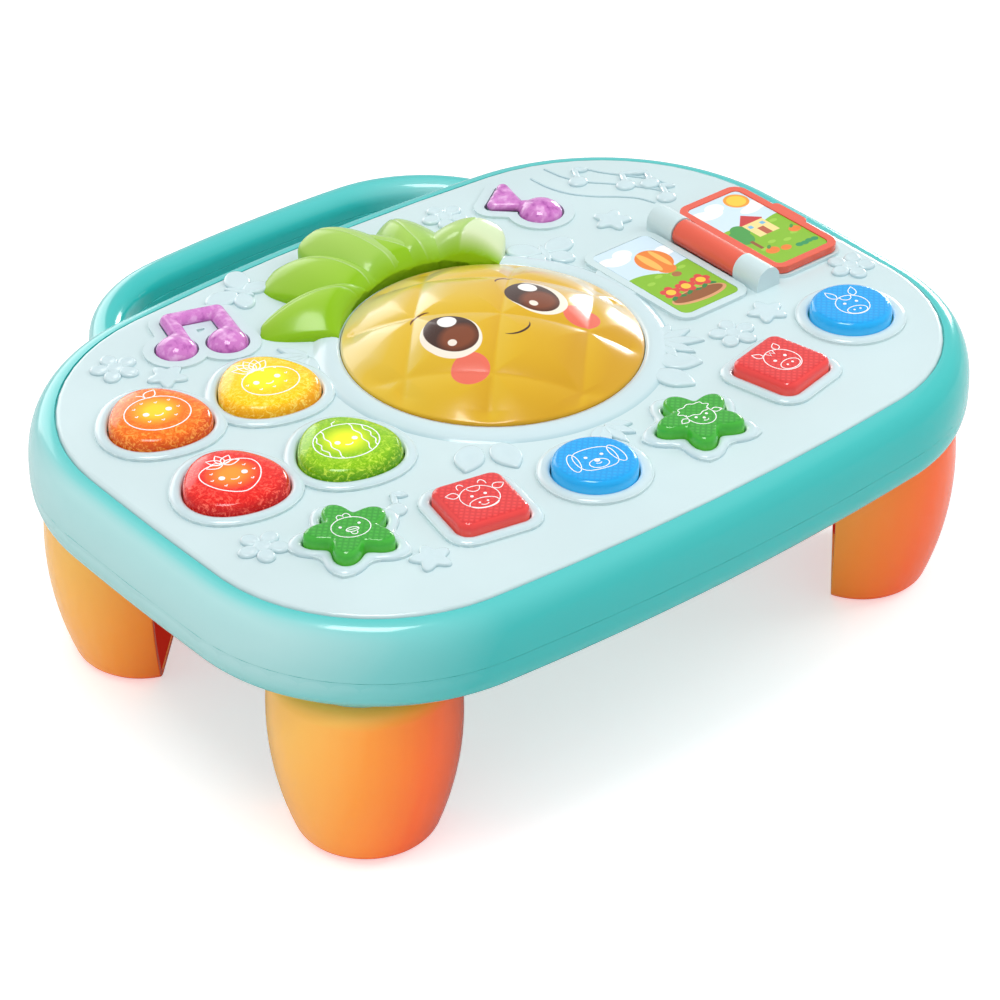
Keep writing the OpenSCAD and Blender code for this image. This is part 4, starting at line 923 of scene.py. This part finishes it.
drawing(
    "button_strawberry", -10, EYES,
    (True, smooth_path(berry, 4, True)), smile(0, -2.4, 1.8),
    *[leaf_line(0, 7, 6.5, 1.7, way) for way in (0, 45, 90, 135, 180)],
    *ticks(SPECKLE[4:] + [(-6.5, 3), (6.5, 3)]),
)
stripes = []
for bend in (-9, -5.6, 5.6, 9):
    tall = 10.6 * sqrt(1 - (bend / 12.6) ** 2)
    steps = [i / 12 for i in range(-12, 13)]
    wavy = [(bend * (1.12 - 0.12 * abs(v)) + 0.45 * sin(9 * v), tall * v - 0.5) for v in steps]
    stripes.append(stroke(*wavy))
drawing(
    "button_melon", -10, [(-3.6, -0.6, 1.1), (3.4, -0.6, 1.1)],
    arc(0, -0.5, 12.4, 11), smile(0, -2.2, 1.7), stroke((0, 10.4), (0.6, 12.4), (2.4, 13.2)), *stripes,
)

# ---- The animal keys ----
# Two stars, two squares and two rounds of clear coloured plastic. Fine pyramids are moulded
# under their tops, and each has an animal's head printed on it in white lines.


def pyramid_plastic(name, colour, hollow_shade, painted_light):
    """Clear coloured plastic over a field of small pyramids, with painted shade in their hollows, painted
    light low on its sides and a painted glow.
    """
    made = plastic(name, colour, 0.1, 0.3)
    tree = made.node_tree
    top = toward(tree, (0, 0, 1), 0.8, 0.95)
    slant = {"Vector": tree.nodes["place"].outputs["Object"], "Rotation": (0, 0, radians(45))}
    rows = {"Vector": add_node(tree, "Mapping", slant).outputs["Vector"], "Scale": 135}
    waves = []
    for way in ("X", "Y"):
        wave = add_node(tree, "TexWave", rows, bands_direction=way, wave_profile="TRI")
        waves.append(wave.outputs["Fac"])
    field = sum_up(tree, "MULTIPLY", sum_up(tree, "MINIMUM", *waves), top)
    # Painted shade in the hollows between the pyramids on the top.
    shadow = scaled(tree, field, -0.8, 0.62)
    paint_over(tree, sum_up(tree, "MULTIPLY", shadow, top), hollow_shade)
    # Painted light: the sides are paler towards their foot.
    paint_over(tree, sum_up(tree, "SUBTRACT", 0.7, raised(tree, 130, 134), clamp=True), painted_light)
    feed(tree, tree.nodes["Bump"], {"Strength": 0.16, "Distance": 0.0008, "Height": field})
    # Painted glow in the plastic's own colour.
    painted_glow(made, 0.14)
    return made


# Slot, body colour, painted shade of the hollows and painted light of the sides, for each kind of key.
KEY_COLOURS = {
    "star": ("key_green", (62, 172, 52), (30, 128, 34), (96, 190, 66)),
    "square": ("key_red", (230, 64, 62), (190, 30, 36), (244, 104, 92)),
    "circle": ("key_blue", (8, 166, 234), (0, 136, 214), (90, 202, 250)),
}
key_paints = {}
for kind, (slot, *colours) in KEY_COLOURS.items():
    key_paints[kind] = pyramid_plastic(slot + "_clear", *[srgb(*c) for c in colours])

cap_shoulder, cap_rise, cap_inward = 132.2, 2.85, 2.7
for node, (kind, x, y, turn) in KEYS.items():
    if kind == "petal":
        continue
    inset = KEY_INSET[kind]
    steps = [(inset, cap_foot), (inset, cap_shoulder)]
    for a in range(15, 91, 15):
        inward = inset + cap_inward * (1 - cos(radians(a)))
        steps.append((inward, cap_shoulder + cap_rise * sin(radians(a))))
    steps += [(e, flat_top) for e in ((5.5,) if kind == "square" else (5.5, 8.5, 12))]
    loops = [level(key_outline(kind, x, y, turn, -e), z) for e, z in steps]
    cap = stacked(node + "_lens", loops)
    finish_piece(cap, key_paints[kind], node + "_cap", 50)
    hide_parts(node)

drawing(
    "key_star_left", -15, [(-3.6, 0.6, 0.6), (3.6, 0.6, 0.6)],
    arc(0, -0.5, 7.2, 6.2), arc(0, -2, 2.4, 1.3), stroke((-2.2, -2), (0, -2), (2.2, -2)),
    arc(-1.3, 6.2, 1.3, 1.7, 0, 210), arc(1.2, 6.4, 1.3, 1.7, -30, 180),
    arc(0, -3.6, 1.2, 1.5, 180, 360),
)
drawing(
    "key_square_left", -15, [(-2.6, 1.6, 0.65), (2.6, 1.6, 0.65), (-1.6, -3, 0.45), (1.6, -3, 0.45)],
    arc(0, 0.5, 7.4, 7), arc(0, -3.6, 5.6, 3.2), leaf_line(6.6, 4, 5, 1.8, 14),
    leaf_line(-6.6, 4, 5, 1.8, 166), arc(-4.2, 8, 1.4, 2.2, 20, 200), arc(4.2, 8, 1.4, 2.2, -20, 160),
    arc(0, 7.2, 2.6, 3, 180, 360), smile(0, -3.6, 1.6),
)
broad_head = [(-7, 5), (0, 6.8), (7, 5), (8, -2), (5, -6.5), (-5, -6.5), (-8, -2)]
drawing(
    "key_circle_left", -15, [(-3.2, 1.6, 0.7), (3.2, 1.6, 0.7), (0, -1.4, 1.1)],
    (True, smooth_path(broad_head, 4, True)), arc(-8.6, 0, 2.2, 5.8, turn=-8),
    arc(8.6, 0, 2.2, 5.8, turn=8), arc(0, -3.4, 3.8, 2.8), smile(0, -2.6, 1.2),
)
wool = []
for a in [radians(9 * i) for i in range(40)]:
    curls = cos(8 * a)
    wool.append((6.4 * cos(a) * (1 + 0.1 * curls), 3.6 + 3.6 * sin(a) * (1 + 0.12 * curls)))
drawing(
    "key_star_right", -5, [(-2.4, -1.4, 0.6), (2.4, -1.4, 0.6), (0, -3.2, 0.6)],
    (True, wool), arc(0, -1.2, 5.4, 6, 150, 390), leaf_line(-5.4, -0.5, 4, 1.4, 200),
    leaf_line(5.4, -0.5, 4, 1.4, -20), smile(0, -4, 1.2),
)
drawing(
    "key_square_right", 6, [(-2.8, 0.8, 0.7), (2.8, 0.8, 0.7), (-1.4, -4.2, 0.5), (1.4, -4.2, 0.5)],
    arc(0, -0.5, 6.8, 7.6), arc(0, -4.4, 4.4, 3), leaf_line(-4, 5.6, 4.6, 1.5, 118),
    leaf_line(4, 5.6, 4.6, 1.5, 62), stroke((-2, 6.6), (-1, 4.2), (0, 6.2), (1, 4.2), (2, 6.6)),
)
drawing(
    "key_circle_right", -15, [(-2.6, 0.6, 0.65), (2.6, 0.6, 0.65), (-1.3, -4.8, 0.45), (1.3, -4.8, 0.45)],
    arc(0, -1, 6.6, 7), arc(0, -5, 4.2, 2.7), leaf_line(-3.6, 5, 6.4, 1.6, 110),
    leaf_line(3.6, 5, 6.4, 1.6, 70), arc(0, 5.4, 2.4, 2.6, 180, 360),
)

# ---- The note buttons ----
# A pair of notes and a single note in clear lilac plastic, round and full like blown sweets. Each
# moves up and down in its own opening of the panel.


def ball(place, r, tall, segments, rings):
    """A ball that may be flattened."""
    select_only()
    bpy.ops.mesh.primitive_uv_sphere_add(segments=segments, ring_count=rings, radius=r, location=place)
    bpy.context.object.scale = (1, 1, tall)
    bpy.ops.object.transform_apply(location=True, rotation=True, scale=True)
    return bpy.context.object


note_foot = 125


def rounded_body(name, balls, links):
    """Plump body: balls joined by round bars, melted together and cut level underneath (mm)."""
    pieces = [ball(spot(x, y, z), r * MM, tall, 40, 20) for x, y, z, r, tall in balls]
    steps = 12
    for (x0, y0, r0), (x1, y1, r1), z in links:
        a, b = spot(x0, y0, z), spot(x1, y1, z)
        for t in [i / steps for i in range(steps + 1)]:
            pieces.append(ball(a + (b - a) * t, (r0 + (r1 - r0) * t) * MM, 0.9, 20, 12))
    body = joined(name, pieces)
    apply_modifier(body, "REMESH", mode="VOXEL", voxel_size=0.5 * MM)
    apply_modifier(body, "SMOOTH", iterations=6, factor=0.6)
    open_mesh()
    foot = (0, 0, note_foot * MM)
    bpy.ops.mesh.bisect(plane_co=foot, plane_no=(0, 0, 1), use_fill=True, clear_inner=True)
    bpy.ops.object.mode_set(mode="OBJECT")
    return body


lilac = plastic("lilac_clear", srgb(206, 122, 198), 0.1, 0.3, grain=0.1)
# Painted glow: the lilac shines a little in its own colour, though it is no lamp.
painted_glow(lilac, 0.08)
lilac_tree = lilac.node_tree
threads = {"Vector": lilac_tree.nodes["place"].outputs["Object"], "Scale": 220, "Detail": 4}
streaks = add_node(lilac_tree, "TexNoise", threads).outputs["Fac"]
paint_over(lilac_tree, scaled(lilac_tree, streaks, 6, -3.1), srgb(232, 176, 226))
paint_over(lilac_tree, scaled(lilac_tree, streaks, -6, 2.7), srgb(162, 66, 158))
pair = rounded_body(
    "note_pair_body",
    [(-103.7, 102.1, 128, 9.3, 0.72), (-82.5, 93, 128, 9.3, 0.72)],
    [((-99.0, 104, 4.1), (-93.6, 122, 4.1), 130), ((-77.8, 95, 4.1), (-72.6, 115, 4.1), 130),
     ((-93.6, 122, 4.1), (-72.6, 115, 4.1), 130)],
)
finish_piece(pair, lilac, "note_pair_button_cap", 80)
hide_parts("note_pair_button")
single = rounded_body(
    "note_single_body",
    [(98.3, 92.7, 128, 10.2, 0.68)],
    [((97, 98, 4), (93, 103, 2.8), 129.5), ((93, 103, 2.8), (97, 119, 3.2), 129.8),
     ((93, 103, 2.8), (92.5, 116, 3.2), 129.8), ((93, 103, 2.8), (88, 113, 3.2), 129.8),
     ((93, 103, 2.8), (84, 110, 3.0), 129.8), ((84, 110.4, 3.0), (97, 119, 3.0), 129.8)],
)
finish_piece(single, lilac, "note_single_button_cap", 80)
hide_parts("note_single_button")

# ---- The pineapple dome ----
# A large round button, pressed down on its spring. It is one shell of golden plastic, quilted
# in diamonds, with a friendly face printed on it. A soft ring of the panel stands round it.

DOME_AT = (6, 17)
dome_r, dome_rise, dome_edge_z, dome_foot_z = 67.0, 19.0, 130.5, 124.0
cap_r = (dome_r**2 + dome_rise**2) / (2 * dome_rise)
diamond, groove_depth = 54.0, 1.7


def groove(x, y):
    """Depth of the quilting at a place from the dome's middle (mm)."""
    u = abs(sin(pi * (x + y + diamond / 9) / diamond))
    v = abs(sin(pi * (x - y - diamond / 9) / diamond))
    return groove_depth * (1 - min(u, v)) ** 1.7


def turned_round(name, section, steps):
    """Turns a closed section of (radius, height) round the dome's axis (mm)."""
    axis = spot(*DOME_AT)
    piece = closed_wire(name, [(axis.x + r * MM, axis.y, z * MM) for r, z in section])
    open_mesh()
    spin_on(360, axis, steps)
    close_skin()
    return piece


ring_section = [
    (67.45, 127.6), (67.5, 128.8), (67.9, 129.5), (69, 130.0), (71, 130.25),
    (73.5, 130.05), (75.5, 129.65), (76.9, 129.1), (78, 128.5), (79.2, 127.8),
]
dome_ring = turned_round("dome_ring", ring_section, 160)
finish_piece(dome_ring, relief, "table", 80)

outer = [(dome_r, dome_foot_z), (dome_r, dome_edge_z - 0.9), (dome_r - 0.25, dome_edge_z - 0.1)]
rings = 95
for i in range(rings + 1):
    r = (dome_r - 0.9) * (1 - i / rings)
    outer.append((r, dome_edge_z + dome_rise - 0.15 - cap_r + sqrt(cap_r**2 - r**2)))
inner = [(0, 144.9), (20, 143.3), (40, 138.5), (60, 130.0), (64.6, 127.5), (64.6, dome_foot_z)]
dome = turned_round("dome_shell", outer + inner, 256)
middle = spot(*DOME_AT)
for corner in dome.data.vertices:
    x, y = (corner.co.x - middle.x) / MM, (corner.co.y - middle.y) / MM
    away = hypot(x, y)
    if corner.co.z > (dome_edge_z - 0.2) * MM and corner.co.z > (145.2 - away**2 / 240) * MM:
        corner.co.z -= groove(x, y) * min(1, (dome_r - away) / 6) * MM

gold = plastic("dome_gold", srgb(226, 182, 40), 0.2, 0.3, grain=0.02)
gold_tree = gold.node_tree
# Painted light and shade: the gold is cream on faces turned up and back to the left and deeper gold on faces
# turned away.
shade_by_facing(
    gold, (-0.35, 0.78, 0.52), 0.1, 1.0, 0.95,
    (0.0, (212, 158, 8)), (0.34, (224, 178, 24)), (0.6, (231, 192, 52)),
    (0.78, (236, 212, 124)), (0.97, (240, 232, 206)),
)
# Painted reflection: faces turned up and to the right are painted a whitish gold.
paint_over(gold_tree, toward(gold_tree, (0.8, 0.1, 0.5), 0.7, 1.0), srgb(248, 240, 220))


def dome_oval(x, y, a, b, soft=0.3):
    """Mask of an ellipse placed from the dome's middle (mm)."""
    return oval_mask(gold_tree, DOME_AT[0] + x, DOME_AT[1] + y, a, b, 0, soft)


def dome_arch(outside, inside):
    """Mask of what one ellipse covers and a second one leaves."""
    return sum_up(gold_tree, "SUBTRACT", dome_oval(*outside), dome_oval(*inside), clamp=True)


coral_print, dark_print = srgb(238, 112, 90), srgb(62, 30, 16)
paint_over(gold_tree, dome_oval(-33, -25, 8.6, 8.2), coral_print)
paint_over(gold_tree, dome_oval(31, -24, 8.4, 8.0), coral_print)
# Where each eye lies across the face, and which side it is on.
EYE_SIDES = {-25.5: -1, 20.5: 1}
for eye, side in EYE_SIDES.items():
    paint_over(gold_tree, dome_oval(eye + 1.4 * side, -4.2, 12.4, 15.2), srgb(252, 240, 222))
    iris = dome_oval(eye, -2.5, 10.6, 14.2)
    paint_over(gold_tree, iris, dark_print)
    warm = sum_up(gold_tree, "MULTIPLY", dome_oval(eye, -7.5, 8.4, 7.6, 3.5), iris)
    paint_over(gold_tree, sum_up(gold_tree, "MULTIPLY", warm, 0.85), srgb(138, 70, 36))
    paint_over(gold_tree, dome_oval(eye + 3.4, 4.6, 4.0, 4.6), srgb(255, 253, 248))
    paint_over(gold_tree, dome_oval(eye - 4.2, -8.6, 1.9, 2.1), srgb(250, 236, 220))
grin = dome_arch((-1.5, -17.6, 7.0, 5.6), (-1.5, -16.3, 7.4, 5.7))
lip_line = DOME_AT[1] - 17.8 + TABLE_Y / MM
below_lip = raised(gold_tree, lip_line + 0.15, lip_line - 0.15, "Y")
paint_over(gold_tree, sum_up(gold_tree, "MULTIPLY", grin, below_lip), dark_print)
for eye, side in EYE_SIDES.items():
    brow_line = dome_arch((eye + side, 17.4, 5.2, 3.4), (eye + side, 16.2, 5.6, 3.4))
    paint_over(gold_tree, brow_line, srgb(110, 60, 18))
finish_piece(dome, gold, "dome", 80)
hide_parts("pineapple_dome")

# ---- The crown of leaves ----
# Six full leaves of green plastic behind the dome, moulded as one relief that stands on the
# panel. Each has two round faces that meet in a ridge. Painted light lies on them: one face of
# each and its ridge are painted paler than the other face, and faces turned up are lighter.

leaf_foot_z, leaf_under_z = 129.3, 127.9
crown_clear = 67.9
# Foot and bend of each leaf's left edge, of its right edge and of its ridge, and its tip: from
# the dome's middle, with the height over the leaves' foot (mm).
LEAVES = {
    "a": ((-42, 40, 1), (-62, 62, 1), (-4, 62, 2), (-42, 88, 2), (-14, 56, 6), (-40, 72, 21), (-71, 74, 2)),
    "b": ((-38, 60, 1), (-53, 92, 1), (-4, 66, 2), (-10, 102, 2), (-14, 60, 6), (-20, 92, 21), (-38, 108, 3)),
    "d": ((-18, 62, 2), (-32, 104, 8), (16, 64, 2), (14, 104, 7), (2, 60, 8), (-4, 92, 22), (-11, 111, 13)),
    "e": ((0, 60, 1), (2, 98, 4), (38, 58, 1), (40, 86, 3), (18, 60, 8), (14, 84, 22), (25, 102, 9)),
    "c": ((-22, 58, 1), (-22, 88, 10), (34, 60, 2), (20, 88, 8), (22, 58, 5), (9, 76, 17), (-3, 94, 14)),
    "f": ((12, 74, 1), (34, 84, 10), (46, 50, 1), (60, 58, 6), (28, 58, 9), (33, 65, 20), (49, 70, 15)),
}
# How much painted light lies on the two faces of each leaf, and where the grid's columns lie across one face.
PAINTED_LIGHT = {
    "a": (0.0, 0.1), "b": (0.0, 0.1), "d": (0.1, 0.25),
    "e": (0.1, 0.2), "c": (0.0, 0.2), "f": (0.3, 0.95),
}
ACROSS = [0, 0.03, 0.08, 0.15, 0.24, 0.35, 0.47, 0.6, 0.72, 0.83, 0.91, 0.96, 1]
leaf_rows = 44


def bow(a, b, c, t):
    """Point of a bent line from a to c."""
    return (1 - t) ** 2 * Vector(a) + 2 * t * (1 - t) * Vector(b) + t * t * Vector(c)


def leaf_point(shape, side, share, t):
    """Place on a leaf: side -1 or 1, share 0 at the edge and 1 on the ridge, t along it (mm)."""
    edge = bow(shape[0], shape[1], shape[6], t) if side < 0 else bow(shape[2], shape[3], shape[6], t)
    ridge = bow(shape[4], shape[5], shape[6], t)
    width = max((ridge - edge).length, 0.2)
    ahead = bow(shape[4], shape[5], shape[6], 1 - (1 - t) ** 1.7)
    flat = ahead + (edge - ridge) * (1 - share)
    full = 0.4 * share + 0.6 * sin(pi / 2 * share)
    flat.z = ahead.z + (edge - ridge).z * (1 - full)
    swell = 2.2 * (1 - t) * sin(pi * share) * (1 if side < 0 else 0.6)
    lip = min(1.8, 0.45 * width)
    inset = min(share * width / lip, 1)
    round_off = lip * (1 - sqrt(1 - (1 - inset) ** 2)) * 0.9
    crest = min((1 - share) * width / 1.6, 1)
    flat.z += swell - round_off - 0.45 * (1 - crest) ** 2
    return flat


def crown_leaf(name, shape, painted_light):
    """One leaf: a grid pulled over its two faces, with walls down to the panel."""
    columns = 2 * len(ACROSS) - 1
    select_only()
    bpy.ops.mesh.primitive_grid_add(x_subdivisions=columns - 1, y_subdivisions=leaf_rows, size=2)
    piece = bpy.context.object
    piece.name = name
    tint = piece.data.color_attributes.new("painted_light", "FLOAT_COLOR", "POINT")
    at = spot(*DOME_AT)
    for number, corner in enumerate(piece.data.vertices):
        column = round((corner.co.x + 1) / 2 * (columns - 1))
        t = (corner.co.y + 1) / 2 * 0.985
        side = -1 if column < len(ACROSS) else 1
        share = ACROSS[column] if side < 0 else ACROSS[columns - 1 - column]
        place = leaf_point(shape, side, share, t)
        clear = min(max(hypot(place.x, place.y) - crown_clear + 1, 0) / 9, 1)
        place.z *= 0.12 + 0.88 * sqrt(clear * (2 - clear))
        corner.co = (at.x + place.x * MM, at.y + place.y * MM, (leaf_foot_z + place.z) * MM)
        # Painted light on each face, and a painted highlight along the ridge.
        tone = max(painted_light[0] if side < 0 else painted_light[1], 0.45 if share == 1 else 0)
        tint.data[number].color = (tone, tone, tone, 1)
    open_mesh()
    bpy.ops.mesh.region_to_loop()
    bpy.ops.mesh.extrude_region_move()
    bpy.ops.object.mode_set(mode="OBJECT")
    for corner in piece.data.vertices:
        if corner.select:
            corner.co.z = leaf_under_z * MM
    bpy.ops.object.mode_set(mode="EDIT")
    bpy.ops.mesh.edge_face_add()
    close_skin()
    select_only()
    bpy.ops.mesh.primitive_cylinder_add(vertices=180, radius=crown_clear * MM, depth=0.1, location=at)
    hole = bpy.context.object
    apply_modifier(piece, "BOOLEAN", object=hole)
    bpy.data.objects.remove(hole)
    # The painted light fades out near the dome.
    tint = piece.data.color_attributes["painted_light"]
    for number, corner in enumerate(piece.data.vertices):
        away = (corner.co.xy - at.xy).length / MM - crown_clear
        tone = tint.data[number].color[0] * min(max((away - 0.5) / 5, 0), 1)
        tint.data[number].color = (tone, tone, tone, 1)
    return piece


leaf_green = plastic("leaf_gloss", srgb(140, 192, 20), 0.22, 0.1, gloss=0.2)
leaf_tree = leaf_green.node_tree
painted_light_share = add_node(leaf_tree, "Attribute", attribute_name="painted_light").outputs["Fac"]
# Painted light: faces turned up are painted a lighter green, and the painted light share paler still.
paint_over(leaf_tree, toward(leaf_tree, (-0.3, 0.2, 1), 0.75, 1.0), srgb(166, 208, 76))
paint_over(leaf_tree, painted_light_share, srgb(222, 238, 196))
crown = joined("leaf_crown", [crown_leaf("leaf_" + k, shape, PAINTED_LIGHT[k]) for k, shape in LEAVES.items()])
finish_piece(crown, leaf_green, "table", 38)
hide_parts("crown_leaves")

# ---- The picture book ----
# A thick coral page turns on a round spine between two posts of the panel. Printed cards with
# a plain garden scene lie in the page and in the trays under it.

coral = plastic("coral_gloss", srgb(236, 96, 72), 0.22, 0.4)
moulding("page_frame", coral, 0.5, body="page", steps=3)


def garden_card(name, x, y, kind):
    """Card print of a garden: sky, clouds, hills and beds laid over each other from the back."""
    made = plastic(name, srgb(214, 236, 248), 0.3, 0.3)
    tree = made.node_tree

    def lay(colour, *ovals):
        """Prints ovals in one colour: place from the card's middle, half sizes and turn (mm)."""
        mask = None
        for dx, dy, a, b, *turn in ovals:
            oval = oval_mask(tree, x + dx, y + dy, a, b, turn[0] if turn else 0, 0.15)
            mask = sum_up(tree, "MAXIMUM", mask, oval) if mask else oval
        paint_over(tree, mask, srgb(*colour))

    def block(colour, dx, dy, a, b, turn=0):
        """Prints a rectangle in one colour, with its place and sizes given like an oval's."""
        inside = local_place(tree, x + dx, y + dy, a, b, turn)
        size = add_node(tree, "VectorMath", {0: inside}, operation="ABSOLUTE").outputs[0]
        parts = add_node(tree, "SeparateXYZ", {0: size}).outputs
        mask = scaled(tree, sum_up(tree, "MAXIMUM", parts["X"], parts["Y"]), -20, 20.5)
        paint_over(tree, mask, srgb(*colour))

    white, grass, lime, brown = (255, 255, 255), (136, 192, 30), (160, 208, 62), (150, 88, 40)
    lay(white, (-9, 22, 7, 4), (-4, 25, 5, 4), (-14, 24, 5, 3), (9, 14, 6, 3), (14, 16, 5, 4))
    lay(grass, (-13, -22, 24, 28, 12), (14, -26, 26, 30, -10))
    bushes = [(-11 + 7 * i, -3 + 3 * (i % 2), 2.2, 1.3) for i in range(4)]
    lay(lime, *bushes, *[(dx, dy - 14, a, b) for dx, dy, a, b in bushes])
    if kind == "bed":
        lay((226, 160, 110), (0, -23, 15, 5.2, -4))
        lay(brown, (0, -22.4, 13.6, 4.0, -4))
        for dx in (-9, 0, 9):
            lay((40, 130, 60), (dx - 2, -19, 2.4, 1.1, 30), (dx + 2, -19, 2.4, 1.1, -30))
            ways = (0, 1.26, 2.51, 3.77, 5.03)
            lay((222, 66, 58), *[(dx + 3.1 * cos(a), -14 + 3.1 * sin(a), 2, 2) for a in ways])
            lay((252, 204, 60), (dx, -14, 2.3, 2.3))
        lay((240, 132, 40), (4, 12, 8.6, 9.6), (4, 3.4, 4.6, 4.4))
        lay((250, 190, 90), (1.2, 12, 2.2, 8.8), (7.6, 12, 1.6, 8.2))
        lay((176, 110, 60), (4, -3.4, 2.5, 2.1))
    else:
        lay((244, 160, 40), (9, 24, 6.2, 6.2))
        lay((253, 208, 60), (9, 24, 4.7, 4.7))
        lay((70, 160, 70), (-12.5, -3, 5.6, 6.6), (-9, 2, 4.6, 5))
        block(brown, -11.4, -12, 1.0, 4)
        block((206, 52, 54), 1, 5.5, 5.0, 5.0, 45)
        block((252, 226, 150), 1, -1.4, 6.2, 6.2)
        block((190, 92, 60), 1, -4.2, 1.9, 3.4)
        block((120, 190, 226), -2.6, 1.6, 1.2, 1.2)
        block((120, 190, 226), 4.6, 1.6, 1.2, 1.2)
        lay((240, 130, 42), (-9, -20, 3.6, 2.9), (12.4, -12, 3.2, 2.6), (-2.5, -22, 2.8, 2.2))
        lay((70, 150, 60), (-8.4, -16.8, 1.9, 0.9, 40), (12.8, -9.2, 1.8, 0.8, 40))
        lay((40, 150, 84), (4, -24, 2, 1.6), (7, -24.4, 2, 1.6), (10, -24, 2, 1.6), (13, -24.4, 2, 1.6))
    return made


moulding("page_card", garden_card("page_print", 161.1, 12.5, "sun"), 0, body="page")
moulding("picture_left", garden_card("left_print", 104.1, 12.5, "bed"), 0)
moulding("picture_right", garden_card("right_print", 161.9, 12.5, "bed"), 0)

# ---- Parts inside the housing ----
# Boards, rubber keypads, loudspeaker, cells and screws: seen only when the case is opened. They
# keep their solids as they are and take the plastic or metal that belongs to their slot.

metal_steel = plastic("bright_steel", (0.55, 0.55, 0.57, 1), 0.3, 0)
metal_contact = plastic("contact_steel", (0.6, 0.58, 0.5, 1), 0.3, 0)
for metal in (metal_steel, metal_contact):
    feed(metal.node_tree, metal.node_tree.nodes["Principled BSDF"], {"Metallic": 1})
inside_paints = {
    "steel": metal_steel,
    "keypad_rubber": plastic("keypad_rubber", srgb(188, 188, 184), 0.7, 0),
    "board_green": plastic("board_green", srgb(30, 110, 62), 0.4, 0.2),
    "lamp_clear": plastic("lamp_clear", srgb(240, 240, 232), 0.1, 0.5),
    "switch_black": plastic("switch_black", srgb(38, 38, 40), 0.5, 0),
    "speaker_black": plastic("speaker_black", srgb(44, 44, 47), 0.45, 0.1),
    "cell_jacket": plastic("cell_jacket", srgb(214, 170, 80), 0.25, 0.4),
    "contact_steel": metal_contact,
    "knob_white": plastic("knob_white", srgb(238, 238, 232), 0.3, 0.2),
    "frame_teal": teal,
}
for part in frame["record"]["subparts"]:
    solid = frame["nodes"][part["node"]]
    if not solid.hide_render:
        solid.data.materials.clear()
        solid.data.materials.append(inside_paints[part["material_slot"]])
